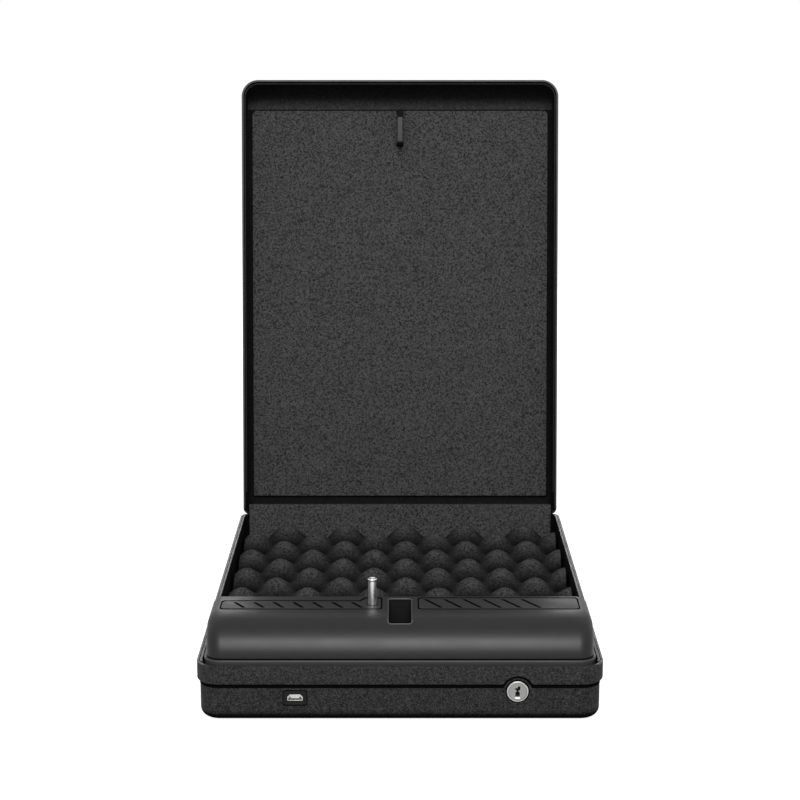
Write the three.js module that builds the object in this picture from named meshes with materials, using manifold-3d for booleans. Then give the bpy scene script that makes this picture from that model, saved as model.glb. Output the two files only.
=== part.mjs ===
// Portable car safe with its lid open: a steel pan and lid, egg-crate foam, and a moulded housing
// over the sliding latch, key lock, release motor and pop-up pin.
// Millimetres. +X is right, -Y is the front, +Z is up. The origin is the middle of the pan's flat
// underside. The lid is drawn closed and then turned about its hinge.
import * as THREE from 'three';
import { mergeVertices } from 'three/addons/utils/BufferGeometryUtils.js';
import Module from 'manifold-3d';

const wasm = await Module();
wasm.setup();

// Base
const BASE_WIDTH = 216;
const BASE_LENGTH = 295;
const RIM_HEIGHT = 31;
const SHEET = 1.2;
const FIT = 0.3;
const PAN_EDGE_RADIUS = 5;
const FRONT_WALL_DROP = 3;
const FRONT_DROP_REACH = 9;
const COLLAR_SHEET = 1.3;
const COLLAR_HEIGHT = 10.2;
const COLLAR_CORNER_RADIUS = 12.6;
const COLLAR_ROLL = 0.8;
const NOTCH_RADIUS = 9;
const NOTCH_FILLET = 2.5;

// Feet
const FOOT_RADIUS = 4.5;
const FOOT_HEIGHT = 1;
const FOOT_ACROSS = 0.32;
const FOOT_INSET = 14;

// Lid
const LID_DEPTH = 26;
const LID_SIDE_PLAY = 0.5;
const LID_EDGE_RADIUS = 6;
const LID_FRONT_RUN = 17;
const LID_FRONT_RISE = 24;
const OPEN_ANGLE = 99.27;
const LID_FRAME_THICKNESS = 0.8;
const LID_FRAME_HEIGHT = 4.6;
const LID_FRAME_SETBACK = 2.3;
const LID_FRAME_REAR_STOP = 12;

// Hinges
const HINGE_INBOARD = 3;
const HINGE_ABOVE_RIM = 3.8;
const HINGE_ACROSS = 0.315;
const HINGE_LENGTH = 36;
const KNUCKLE_RADIUS = 1.8;
const END_KNUCKLE_LENGTH = 10;
const HINGE_PIN_RADIUS = 0.9;
const HINGE_BORE_PLAY = 0.1;
const HINGE_PIN_HEAD = 0.8;
const LEAF_THICKNESS = 1.1;
const BASE_LEAF_REACH = 16;
const LID_LEAF_REACH = 14;

// Foam
const FOAM_TOP = 27;
const EGG_HEIGHT = 13;
const EGG_PITCH_X = 39.7;
const EGG_PITCH_Y = 39;
const EGG_PEAK_X = 3.6;
const EGG_PEAK_INSET = 13.3;
const EGG_CELLS_X = 30;
const EGG_CELLS_Y = 34;
const FLOOR_FOAM_SIDE_GAP = 2.2;
const FOAM_CHAMFER = 3.2;
const REAR_FOAM_SIDE_GAP = 3.5;
const REAR_FOAM_THICKNESS = 3.6;
const REAR_FOAM_TOP = 40.2;
const REAR_FOAM_BOTTOM = 2.2;
const REAR_FOAM_CORNER = 8;
const LID_FOAM_SIDE_GAP = 4.1;
const LID_FOAM_THICKNESS = 2.9;
const LID_FOAM_REAR_MARGIN = 10.4;
const LID_FOAM_FRONT_MARGIN = 18.2;
const LID_FOAM_CORNER = 3.5;

// Lock housing
const HOUSING_DEPTH = 54;
const HOUSING_TOP = 52;
const HOUSING_WALL = 2;
const HOUSING_SIDE_GAP = 2.2;
const HOUSING_CORNER = 8.5;
const HOUSING_SHOULDER = 5;
const HOUSING_SKIRT_BOTTOM = 26;
const LIP_INSET = 3.4;
const LIP_SIDE_GAP = 1;
const LIP_TOP = 33;
const LIP_CHAMFER = 0.5;
const FACE_INSET = 5.2;
const FLAT_TOP_INSET = 28;
const REAR_WALL_CORNER = 7;
const SLOT_WIDTH = 13.6;
const SLOT_FRONT_INSET = 15.8;
const SLOT_REAR_INSET = 50;
const SLOT_CORNER = 1.6;
const WELL_WALL = 1.8;
const WELL_BOTTOM = 38;
const TRIM_RECESS = 1;
const TRIM_THICKNESS = 0.7;
const TRIM_FRONT_INSET = 31.5;
const TRIM_REAR_INSET = 51.4;
const TRIM_NARROW_INSET = 46.3;
const TRIM_SIDE_MARGIN = 0.7;
const TRIM_INNER_X = 9.9;
const TRIM_STEP_X = 19;
const TRIM_CORNER = 2.6;
const SLASH_PITCH = 10.65;
const SLASH_WIDTH = 1.1;
const SLASH_DEPTH = 0.4;
const POST_SIDE_MARGIN = 6;
const POST_RADIUS = 3.4;
const POST_FRONT_INSET = 16;
const POST_REAR_MARGIN = 10;
const POST_FRONT_TOP = 46.3;
const SCREW_RADIUS = 1.25;
const SCREW_HEAD_RADIUS = 2.9;
const SCREW_HEAD_HEIGHT = 1.5;
const SCREW_LENGTH = 12;

// Latch
const LATCH_INSET = 32;
const LATCH_THICKNESS = 2.5;
const LATCH_LOW = 42;
const LATCH_HIGH = 47;
const LATCH_TRAVEL = 10.5;
const LATCH_TAIL = 2.3;
const FINGER_WIDTH = 3.4;
const FRAME_SHEET = 1.5;
const FRAME_HALF_WIDTH = 5;
const FRAME_WELL_GAP = 1.4;
const LATCH_SPRING_LENGTH = 7.8;
const STRIKER_WIDTH = 3.6;
const STRIKER_BAR = 2.2;
const STRIKER_FRONT_INSET = 19.9;
const STRIKER_SPAN = 24;
const STRIKER_BOTTOM = 38.4;
const STRIKER_BEND = 3.4;

// Release motor
const MOTOR_ACROSS = 0.13;
const MOTOR_Z = 20;
const MOTOR_RADIUS = 6;
const MOTOR_FLAT = 5;
const MOTOR_CAN_LENGTH = 10.6;
const GEARBOX_LENGTH = 8;
const SHAFT_RADIUS = 1.5;
const CAM_SMALL_RADIUS = 3;
const CAM_GAP = 0.5;

// Key lock
const LOCK_ACROSS = 0.2875;
const LOCK_Z = 16.7;
const LOCK_HOLE_RADIUS = 6.4;
const LOCK_NOSE_RADIUS = 5.7;
const LOCK_FACE_INSET = 0.9;
const LOCK_FLANGE_RADIUS = 8.5;
const LOCK_FLANGE = 1.5;
const LOCK_BODY_RADIUS = 6.2;
const LOCK_CORE_RADIUS = 4.75;
const LOCK_CORE_PLAY = 0.1;
const LOCK_STUB_RADIUS = 2.5;
const LOCK_STUB_LENGTH = 7.2;
const KEY_CAM_REACH = 15.5;
const KEY_CAM_WIDTH = 5;
const KEY_CAM_HUB = 5;
const KEYWAY_DEPTH = 5;
const LOCK_NUT_RADIUS = 8.6;
const LOCK_NUT_THICKNESS = 3;

// Pop-up pin
const PLUNGER_SLOT_GAP = 5.7;
const PLUNGER_INSET = 39.8;
const PLUNGER_RADIUS = 2.5;
const PLUNGER_SHOWN = 14.9;
const PLUNGER_COLLAR_RADIUS = 3.7;
const PLUNGER_COLLAR = 2;
const PLUNGER_SPIGOT_RADIUS = 1.6;
const PLUNGER_SPIGOT = 7;
const GUIDE_RADIUS = 5.5;
const GUIDE_BORE = 4.1;
const GUIDE_TOP = 34;
const GUIDE_END = 2;
const SPRING_WIRE = 0.7;

// Charging port, board and battery
const USB_ACROSS = -0.257;
const USB_Z = 13;
const USB_BEZEL_WIDTH = 12.7;
const USB_BEZEL_HEIGHT = 8.1;
const USB_BEZEL_PROUD = 0.3;
const USB_SHELL_WIDTH = 8.2;
const USB_SHELL_HEIGHT = 3.4;
const USB_SHELL_WALL = 0.4;
const USB_SHELL_DEPTH = 7;
const BOARD_THICKNESS = 1.6;
const BOARD_SIDE_MARGIN = 15;
const BOARD_WIDTH = 60;
const BOARD_DEPTH = 23;
const CHIP_SIZE = 10;
const CHIP_HEIGHT = 1.4;
const SOCKET_SIZE = 7;
const SOCKET_HEIGHT = 6;
const CAPACITOR_RADIUS = 3;
const CAPACITOR_HEIGHT = 7;
const BUZZER_RADIUS = 5;
const BUZZER_HEIGHT = 5.2;
const PART_SPACING = 4;
const CELL_RADIUS = 7.1;
const CELL_LENGTH = 49.5;
const CELL_SIDE_MARGIN = 16;
const CELL_REAR_MARGIN = 14;
const CELL_HOLDER_HEIGHT = 7.5;
const CELL_HOLDER_WALL = 2;

// Keypad on the lid
const KEYPAD_INSET = 70;
const KEYPAD_WIDTH = 82;
const KEYPAD_LENGTH = 30;
const KEYPAD_RIM = 4;
const KEYPAD_PLATE = 1.2;
const KEYPAD_CORNER = 5;
const KEY_WIDTH = 9.4;
const KEY_LENGTH = 13.4;
const KEY_PROUD = 0.4;
const KEY_FLANGE = 0.7;
const KEY_FLANGE_HEIGHT = 0.6;
const KEY_TRAVEL = 0.5;
const KEY_X = [-28, -15.5, 15.5, 28];
const SENSOR_RADIUS = 7;
const KEYPAD_BOARD = 1;

// Values that follow from the dimensions above
const front = -BASE_LENGTH / 2;
const panInset = COLLAR_SHEET + FIT;
const panHalfX = BASE_WIDTH / 2 - panInset;
const panBack = BASE_LENGTH / 2 - panInset;
const panFront = -panBack;
const panCorner = COLLAR_CORNER_RADIUS - panInset;
const wallInside = panFront + SHEET;
const floorTop = SHEET + FIT;
const lidHalfX = panHalfX - LID_SIDE_PLAY;
const innerHalfX = panHalfX - SHEET;
const housingHalfX = innerHalfX - HOUSING_SIDE_GAP;
const lipHalfX = innerHalfX - LIP_SIDE_GAP;
const floorFoamHalfX = innerHalfX - FLOOR_FOAM_SIDE_GAP;
const trimOuterX = housingHalfX - HOUSING_SHOULDER - TRIM_SIDE_MARGIN;
const postX = housingHalfX - POST_SIDE_MARGIN;
const footX = BASE_WIDTH * FOOT_ACROSS;
const hingeX = BASE_WIDTH * HINGE_ACROSS;
const motorX = BASE_WIDTH * MOTOR_ACROSS;
const lockX = BASE_WIDTH * LOCK_ACROSS;
const usbX = BASE_WIDTH * USB_ACROSS;
const boardLeftX = BOARD_SIDE_MARGIN - housingHalfX;
const cellLeftX = CELL_SIDE_MARGIN - housingHalfX;
const lidRim = RIM_HEIGHT + FIT;
const lidTop = lidRim + LID_DEPTH;
const lidCeiling = lidTop - SHEET;
const axisY = panBack - HINGE_INBOARD;
const axisZ = lidRim + HINGE_ABOVE_RIM;
const rearFoamBack = axisY - HINGE_ABOVE_RIM - FIT;
const rearFoamFront = rearFoamBack - REAR_FOAM_THICKNESS;
const housingBack = front + HOUSING_DEPTH;
const latchY = front + LATCH_INSET;
const latchFront = latchY - LATCH_THICKNESS / 2;
const latchBack = latchY + LATCH_THICKNESS / 2;
const slotHalf = SLOT_WIDTH / 2;
const latchNose = slotHalf + FIT;
const camRadius = CAM_SMALL_RADIUS + LATCH_TRAVEL;
const motorFingerX = motorX + camRadius + CAM_GAP;
const keyFingerX = lockX + KEY_CAM_REACH + CAM_GAP;
const latchEnd = keyFingerX + FINGER_WIDTH + LATCH_TAIL;
const frameLeftX = slotHalf + WELL_WALL + FRAME_WELL_GAP;
const frameMiddleX = (motorFingerX + FINGER_WIDTH + lockX - LOCK_BODY_RADIUS - FRAME_SHEET) / 2;
const frameRightX = latchEnd + LATCH_SPRING_LENGTH + 2 * FIT;
const plungerX = -slotHalf - PLUNGER_SLOT_GAP - PLUNGER_RADIUS;
const plungerY = front + PLUNGER_INSET;
const lidFoamTop = lidCeiling - FIT;
const lidFoamFace = lidFoamTop - LID_FOAM_THICKNESS;
const keypadY = front + KEYPAD_INSET;
const strikerFront = front + STRIKER_FRONT_INSET;
const strikerBack = strikerFront + STRIKER_SPAN;

const CORNER_STEPS = 6;
const BEND_STEPS = 5;
const ROUND_SIDES = 24;

// Materials, by what the piece is made of
const paint = { color: 0x2c2c2d, roughness: 0.62, metalness: 0.2 };
const paintedEdge = { color: 0x242425, roughness: 0.6, metalness: 0.2 };
const satinPlastic = { color: 0x232324, roughness: 0.42, metalness: 0 };
const trimPlastic = { color: 0x2a2a2b, roughness: 0.5, metalness: 0 };
const blackPlastic = { color: 0x141415, roughness: 0.5, metalness: 0 };
const foam = { color: 0x3a3a3b, roughness: 1, metalness: 0 };
const steel = { color: 0xa9a9a8, roughness: 0.38, metalness: 1 };
const chrome = { color: 0xd6d6d4, roughness: 0.12, metalness: 1 };
const brass = { color: 0xb59a5a, roughness: 0.35, metalness: 1 };
const rubber = { color: 0x161616, roughness: 0.9, metalness: 0 };
const circuit = { color: 0x1f4d33, roughness: 0.55, metalness: 0 };
const cellSleeve = { color: 0x2d5d93, roughness: 0.4, metalness: 0 };
const darkGlass = { color: 0x0b0c0e, roughness: 0.15, metalness: 0 };

const safe = new THREE.Group();
const lid = new THREE.Group();
lid.position.set(0, axisY, axisZ);
lid.rotation.x = -THREE.MathUtils.degToRad(OPEN_ANGLE);
safe.add(lid);

// A geometry becomes a solid once its corners are shared.
function solid(geometry) {
  const bare = geometry.clone();
  for (const name of Object.keys(bare.attributes)) {
    if (name !== 'position') bare.deleteAttribute(name);
  }
  const merged = mergeVertices(bare, 1e-4);
  return new wasm.Manifold(new wasm.Mesh({
    numProp: 3,
    vertProperties: new Float32Array(merged.attributes.position.array),
    triVerts: new Uint32Array(merged.index.array),
  }));
}

function geometryOf(body) {
  const mesh = body.getMesh();
  const geometry = new THREE.BufferGeometry();
  geometry.setAttribute('position', new THREE.BufferAttribute(new Float32Array(mesh.vertProperties), 3));
  geometry.setIndex(new THREE.BufferAttribute(new Uint32Array(mesh.triVerts), 1));
  geometry.computeVertexNormals();
  return geometry;
}

function add(name, piece, look, parent = safe) {
  const geometry = piece.isBufferGeometry ? piece : geometryOf(piece);
  if (parent === lid) geometry.translate(0, -axisY, -axisZ);
  const mesh = new THREE.Mesh(geometry, new THREE.MeshStandardMaterial(look));
  mesh.name = name;
  parent.add(mesh);
}

function block(x0, x1, y0, y1, z0, z1) {
  const box = new THREE.BoxGeometry(x1 - x0, y1 - y0, z1 - z0);
  return solid(box.translate((x0 + x1) / 2, (y0 + y1) / 2, (z0 + z1) / 2));
}

// A round bar along an axis; a and b are its place across the other two axes, in X, Y, Z order.
function rod(axis, radius, from, to, a, b, sides = ROUND_SIDES) {
  const bar = new THREE.CylinderGeometry(radius, radius, to - from, sides);
  const middle = (from + to) / 2;
  if (axis === 'x') return solid(bar.rotateZ(-Math.PI / 2).translate(middle, a, b));
  if (axis === 'y') return solid(bar.translate(a, middle, b));
  return solid(bar.rotateX(Math.PI / 2).translate(a, b, middle));
}

// A turned piece: the profile's points are radius and height along Y, or along Z when upright.
function turned(points, upright, place, sides = ROUND_SIDES) {
  const profile = points.map(([radius, height]) => new THREE.Vector2(radius, height));
  const lathe = new THREE.LatheGeometry(profile, sides);
  if (upright) lathe.rotateX(Math.PI / 2);
  const body = solid(lathe.translate(...place));
  return body.volume() < 0 ? solid(flipped(lathe)) : body;
}

function flipped(geometry) {
  const turnedOver = geometry.clone();
  const index = turnedOver.index.array;
  for (let i = 0; i < index.length; i += 3) [index[i], index[i + 1]] = [index[i + 1], index[i]];
  return turnedOver;
}

// Outlines drawn across an axis and drawn out along it.
const ALONG_X = new THREE.Matrix4().makeBasis(
  new THREE.Vector3(0, 1, 0), new THREE.Vector3(0, 0, 1), new THREE.Vector3(1, 0, 0));
const ALONG_Y = new THREE.Matrix4().makeBasis(
  new THREE.Vector3(1, 0, 0), new THREE.Vector3(0, 0, 1), new THREE.Vector3(0, -1, 0));

function drawn(shape, depth) {
  return new THREE.ExtrudeGeometry(shape, { depth, bevelEnabled: false, curveSegments: BEND_STEPS });
}

function slabX(shape, x0, x1) {
  return solid(drawn(shape, x1 - x0).applyMatrix4(ALONG_X).translate(x0, 0, 0));
}

function slabY(shape, y0, y1) {
  return solid(drawn(shape, y1 - y0).applyMatrix4(ALONG_Y).translate(0, y1, 0));
}

function slabZ(shape, z0, z1) {
  return solid(drawn(shape, z1 - z0).translate(0, 0, z0));
}

function outline(points) {
  return new THREE.Shape(points.map(([a, b]) => new THREE.Vector2(a, b)));
}

// An outline whose corners are rounded, each by its own radius.
function roundedOutline(points) {
  const shape = new THREE.Shape();
  points.forEach(([a, b, radius], i) => {
    const corner = new THREE.Vector2(a, b);
    const last = points[(i + points.length - 1) % points.length];
    const next = points[(i + 1) % points.length];
    const back = new THREE.Vector2(last[0], last[1]).sub(corner).normalize();
    const ahead = new THREE.Vector2(next[0], next[1]).sub(corner).normalize();
    const setback = radius / Math.tan(back.angleTo(ahead) / 2);
    const start = corner.clone().addScaledVector(back, setback);
    const end = corner.clone().addScaledVector(ahead, setback);
    if (i === 0) shape.moveTo(start.x, start.y);
    else shape.lineTo(start.x, start.y);
    if (radius > 0) shape.quadraticCurveTo(a, b, end.x, end.y);
  });
  shape.closePath();
  return shape;
}

function roundedBox(a0, a1, b0, b1, radius) {
  return roundedOutline([[a0, b0, radius], [a1, b0, radius], [a1, b1, radius], [a0, b1, radius]]);
}

// A level ring of points: a rectangle with round corners, counted round from its right-hand side.
function ring(halfX, yFront, yBack, z, frontRadius, backRadius = frontRadius) {
  const corners = [
    [halfX - backRadius, yBack - backRadius, backRadius],
    [-halfX + backRadius, yBack - backRadius, backRadius],
    [-halfX + frontRadius, yFront + frontRadius, frontRadius],
    [halfX - frontRadius, yFront + frontRadius, frontRadius],
  ];
  return corners.flatMap(([x, y, radius], k) => Array.from({ length: CORNER_STEPS + 1 }, (_, i) => {
    const angle = (Math.PI / 2) * (k + i / CORNER_STEPS);
    return new THREE.Vector3(x + radius * Math.cos(angle), y + radius * Math.sin(angle), z);
  }));
}

// A skin over rings of equal count, closed by flat ends, or joined end to end as a band.
function loft(rings, joinEnds = false) {
  const count = rings[0].length;
  const points = rings.flat();
  const faces = [];
  const spans = joinEnds ? rings.length : rings.length - 1;
  for (let level = 0; level < spans; level += 1) {
    const low = level * count;
    const high = ((level + 1) % rings.length) * count;
    for (let i = 0; i < count; i += 1) {
      const next = (i + 1) % count;
      faces.push(low + i, low + next, high + next, low + i, high + next, high + i);
    }
  }
  if (!joinEnds) {
    for (const [level, start] of [[0, 0], [rings.length - 1, points.length - count]]) {
      const middle = rings[level].reduce((sum, p) => sum.add(p), new THREE.Vector3()).divideScalar(count);
      const centre = points.push(middle) - 1;
      for (let i = 0; i < count; i += 1) {
        const here = start + i;
        const next = start + ((i + 1) % count);
        faces.push(...(level === 0 ? [centre, next, here] : [centre, here, next]));
      }
    }
  }
  const geometry = new THREE.BufferGeometry().setFromPoints(points);
  geometry.setIndex(faces);
  geometry.computeVertexNormals();
  return geometry;
}

// Inset and rise of a quarter round, from its flat out to its wall.
function quarterRound(radius) {
  return Array.from({ length: BEND_STEPS + 1 }, (_, i) => {
    const angle = (Math.PI / 2) * (i / BEND_STEPS);
    return [radius * (1 - Math.sin(angle)), radius * (1 - Math.cos(angle))];
  });
}

// A wound spring along an axis: one unbroken wire whose ends lie square to what they press on.
function coil(axis, meanRadius, wire, from, to, turns, a, b) {
  const steps = Math.round(turns * 8);
  const sides = 5;
  const low = from + wire / 2;
  const high = to - wire / 2;
  const rings = [];
  for (let i = 0; i <= steps; i += 1) {
    const share = i / steps;
    const angle = 2 * Math.PI * turns * share;
    const out = new THREE.Vector3(Math.cos(angle), Math.sin(angle), 0);
    const middle = out.clone().multiplyScalar(meanRadius).setZ(low + (high - low) * share);
    const along = new THREE.Vector3(-Math.sin(angle), Math.cos(angle), 0);
    const up = new THREE.Vector3().crossVectors(along, out);
    rings.push(Array.from({ length: sides }, (_, k) => {
      const turn = (2 * Math.PI * k) / sides;
      return middle.clone().addScaledVector(out, -Math.cos(turn) * (wire / 2))
        .addScaledVector(up, Math.sin(turn) * (wire / 2));
    }));
  }
  let geometry = loft(rings);
  if (solid(geometry).volume() < 0) geometry = flipped(geometry);
  if (axis === 'x') geometry.rotateY(Math.PI / 2).translate(0, a, b);
  else geometry.translate(a, b, 0);
  return geometry;
}

// Pan: pressed tray with a round bottom edge and a lower front wall.
function panRing(inset, z) {
  return ring(panHalfX - inset, panFront + inset, panBack - inset, z, Math.max(panCorner - inset, 1));
}

function screwCutter(x, y, play) {
  return turned([
    [0, -FOOT_HEIGHT],
    [SCREW_HEAD_RADIUS + play, -FOOT_HEIGHT],
    [SCREW_HEAD_RADIUS + play, play / 3],
    [SCREW_RADIUS + play, SCREW_HEAD_HEIGHT + play / 3],
    [SCREW_RADIUS + play, floorTop + SCREW_LENGTH],
    [0, floorTop + SCREW_LENGTH],
  ], true, [x, y, 0], 16);
}

const postPlaces = [front + POST_FRONT_INSET, housingBack - POST_REAR_MARGIN]
  .flatMap((y) => [-postX, postX].map((x) => [x, y]));

function basePan() {
  const outside = quarterRound(PAN_EDGE_RADIUS).map(([inset, rise]) => panRing(inset, rise));
  const inside = quarterRound(PAN_EDGE_RADIUS - SHEET)
    .map(([inset, rise]) => panRing(SHEET + inset, SHEET + rise));
  let pan = solid(loft([
    ...outside, panRing(0, RIM_HEIGHT), panRing(SHEET, RIM_HEIGHT), ...inside.reverse(),
  ]));
  pan = pan.subtract(block(-panHalfX - 1, panHalfX + 1, front, front + FRONT_DROP_REACH,
    RIM_HEIGHT - FRONT_WALL_DROP, RIM_HEIGHT + 1));
  pan = pan.subtract(rod('y', LOCK_HOLE_RADIUS, front, wallInside + 2, lockX, LOCK_Z, 32));
  const halfW = USB_BEZEL_WIDTH / 2 + FIT;
  const halfH = USB_BEZEL_HEIGHT / 2 + FIT;
  pan = pan.subtract(slabY(
    roundedBox(usbX - halfW, usbX + halfW, USB_Z - halfH, USB_Z + halfH, 1.4), front, wallInside + 2));
  for (const [x, y] of postPlaces) pan = pan.subtract(screwCutter(x, y, FIT));
  return pan;
}

// Collar: a band welded round the pan's rim, arched over the key lock.
function collarRing(inset, z) {
  const corner = Math.max(COLLAR_CORNER_RADIUS - inset, 1);
  return ring(BASE_WIDTH / 2 - inset, front + inset, -front - inset, z, corner);
}

function notchOutline(bottom) {
  const rise = bottom - LOCK_Z;
  const span = NOTCH_RADIUS + NOTCH_FILLET;
  const across = Math.sqrt(span ** 2 - (rise + NOTCH_FILLET) ** 2);
  const tilt = Math.atan2(rise + NOTCH_FILLET, across);
  const shape = new THREE.Shape();
  shape.moveTo(lockX - across, bottom - COLLAR_ROLL);
  shape.lineTo(lockX - across, bottom);
  shape.absarc(lockX - across, bottom + NOTCH_FILLET, NOTCH_FILLET, -Math.PI / 2, -tilt, false);
  shape.absarc(lockX, LOCK_Z, NOTCH_RADIUS, Math.PI - tilt, tilt, true);
  shape.absarc(lockX + across, bottom + NOTCH_FILLET, NOTCH_FILLET, Math.PI + tilt, 1.5 * Math.PI, false);
  shape.lineTo(lockX + across, bottom - COLLAR_ROLL);
  shape.closePath();
  return shape;
}

function baseCollar() {
  const bottom = RIM_HEIGHT - COLLAR_HEIGHT;
  const band = solid(loft([
    collarRing(COLLAR_ROLL, bottom),
    collarRing(COLLAR_ROLL * 0.3, bottom + COLLAR_ROLL * 0.3),
    collarRing(0, bottom + COLLAR_ROLL),
    collarRing(0, RIM_HEIGHT),
    collarRing(COLLAR_SHEET, RIM_HEIGHT),
    collarRing(COLLAR_SHEET, bottom),
  ], true));
  return band.subtract(slabY(notchOutline(bottom), front - 1, panFront));
}

function foot(x, y) {
  return turned([
    [0, -FOOT_HEIGHT], [FOOT_RADIUS - 0.4, -FOOT_HEIGHT], [FOOT_RADIUS, -FOOT_HEIGHT + 0.4],
    [FOOT_RADIUS, 0], [0, 0],
  ], true, [x, y, 0]);
}

// Floor foam: egg-crate peaks on a cosine grid, on a sheet with chamfered lower edges.
function floorFoam() {
  const yFront = housingBack + FIT;
  const yBack = rearFoamFront - FIT;
  const peakY = -front - EGG_PEAK_INSET;
  const middle = FOAM_TOP - EGG_HEIGHT / 2;
  const top = (x, y) => middle + (EGG_HEIGHT / 2)
    * Math.cos((2 * Math.PI * (x - EGG_PEAK_X)) / EGG_PITCH_X)
    * Math.cos((2 * Math.PI * (y - peakY)) / EGG_PITCH_Y);
  const points = [];
  const faces = [];
  const across = EGG_CELLS_X + 1;
  for (let j = 0; j <= EGG_CELLS_Y; j += 1) {
    for (let i = 0; i <= EGG_CELLS_X; i += 1) {
      const x = floorFoamHalfX * ((2 * i) / EGG_CELLS_X - 1);
      const y = yFront + ((yBack - yFront) * j) / EGG_CELLS_Y;
      points.push(new THREE.Vector3(x, y, top(x, y)));
    }
  }
  for (let j = 0; j < EGG_CELLS_Y; j += 1) {
    for (let i = 0; i < EGG_CELLS_X; i += 1) {
      const a = j * across + i;
      faces.push(a, a + 1, a + across + 1, a, a + across + 1, a + across);
    }
  }
  const edge = [];
  for (let i = 0; i < EGG_CELLS_X; i += 1) edge.push(i);
  for (let j = 0; j < EGG_CELLS_Y; j += 1) edge.push(j * across + EGG_CELLS_X);
  for (let i = EGG_CELLS_X; i > 0; i -= 1) edge.push(EGG_CELLS_Y * across + i);
  for (let j = EGG_CELLS_Y; j > 0; j -= 1) edge.push(j * across);
  const shoulder = edge.map((k) => points.push(points[k].clone().setZ(floorTop + FOAM_CHAMFER)) - 1);
  const halfX = floorFoamHalfX;
  const under = shoulder.map((k) => {
    const p = points[k];
    const x = THREE.MathUtils.clamp(p.x, -halfX + FOAM_CHAMFER, halfX - FOAM_CHAMFER);
    return points.push(new THREE.Vector3(x + p.x * 1e-4, p.y, floorTop)) - 1;
  });
  const centre = points.push(new THREE.Vector3(0, (yFront + yBack) / 2, floorTop)) - 1;
  edge.forEach((_, i) => {
    const next = (i + 1) % edge.length;
    faces.push(edge[next], edge[i], shoulder[i], edge[next], shoulder[i], shoulder[next]);
    faces.push(shoulder[next], shoulder[i], under[i], shoulder[next], under[i], under[next]);
    faces.push(centre, under[next], under[i]);
  });
  const geometry = new THREE.BufferGeometry().setFromPoints(points);
  geometry.setIndex(faces);
  geometry.computeVertexNormals();
  return geometry;
}

function rearFoam() {
  const half = innerHalfX - REAR_FOAM_SIDE_GAP;
  return slabY(roundedOutline([
    [-half, REAR_FOAM_BOTTOM, REAR_FOAM_CORNER], [half, REAR_FOAM_BOTTOM, REAR_FOAM_CORNER],
    [half, REAR_FOAM_TOP, 1], [-half, REAR_FOAM_TOP, 1],
  ]), rearFoamFront, rearFoamBack);
}

// Housing: the front face is a quarter ellipse from the lip up to the flat top.
function housingLevels(wall) {
  const run = FLAT_TOP_INSET - FACE_INSET - wall;
  const rise = HOUSING_TOP - LIP_TOP;
  const shoulder = HOUSING_SHOULDER;
  const corner = Math.max(HOUSING_CORNER - wall, 2);
  const back = housingBack - wall;
  const steps = 8;
  const rings = [];
  for (let i = 0; i <= steps; i += 1) {
    const angle = (Math.PI / 2) * (i / steps);
    const climb = rise * Math.sin(angle);
    const over = Math.max(climb - (rise - shoulder), 0);
    const pullIn = shoulder - Math.sqrt(shoulder ** 2 - over ** 2);
    const inset = FACE_INSET + wall + run * (1 - Math.cos(angle));
    rings.push(ring(
      housingHalfX - wall - pullIn, front + inset, back - 0.15 * pullIn,
      LIP_TOP - wall + climb, corner, 1.5));
  }
  return rings;
}

function lipRing(inset, z) {
  return ring(lipHalfX - inset, front + LIP_INSET + inset, housingBack - Math.min(inset, HOUSING_WALL),
    z, Math.max(HOUSING_CORNER + 1 - inset, 2), 1.5);
}

function slotOutline(growth) {
  return roundedBox(-slotHalf - growth, slotHalf + growth,
    front + SLOT_FRONT_INSET - growth, front + SLOT_REAR_INSET + growth, SLOT_CORNER + growth / 2);
}

function trimOutline(side, growth) {
  const f = front + TRIM_FRONT_INSET - growth;
  const r = front + TRIM_REAR_INSET + growth;
  const n = front + TRIM_NARROW_INSET + growth;
  const inner = TRIM_INNER_X - growth;
  const outer = trimOuterX + growth;
  const c = TRIM_CORNER;
  if (side > 0) return roundedBox(inner, outer, f, r, c);
  const step = TRIM_STEP_X + growth;
  return roundedOutline([
    [-outer, f, c], [-inner, f, c], [-inner, r, c], [-step, r, 1.2], [-step - 3, n, 1.2], [-outer, n, c],
  ]);
}

function pinHole() {
  return rod('z', PLUNGER_RADIUS + FIT, HOUSING_TOP - 4, HOUSING_TOP + 1, plungerX, plungerY);
}

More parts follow.
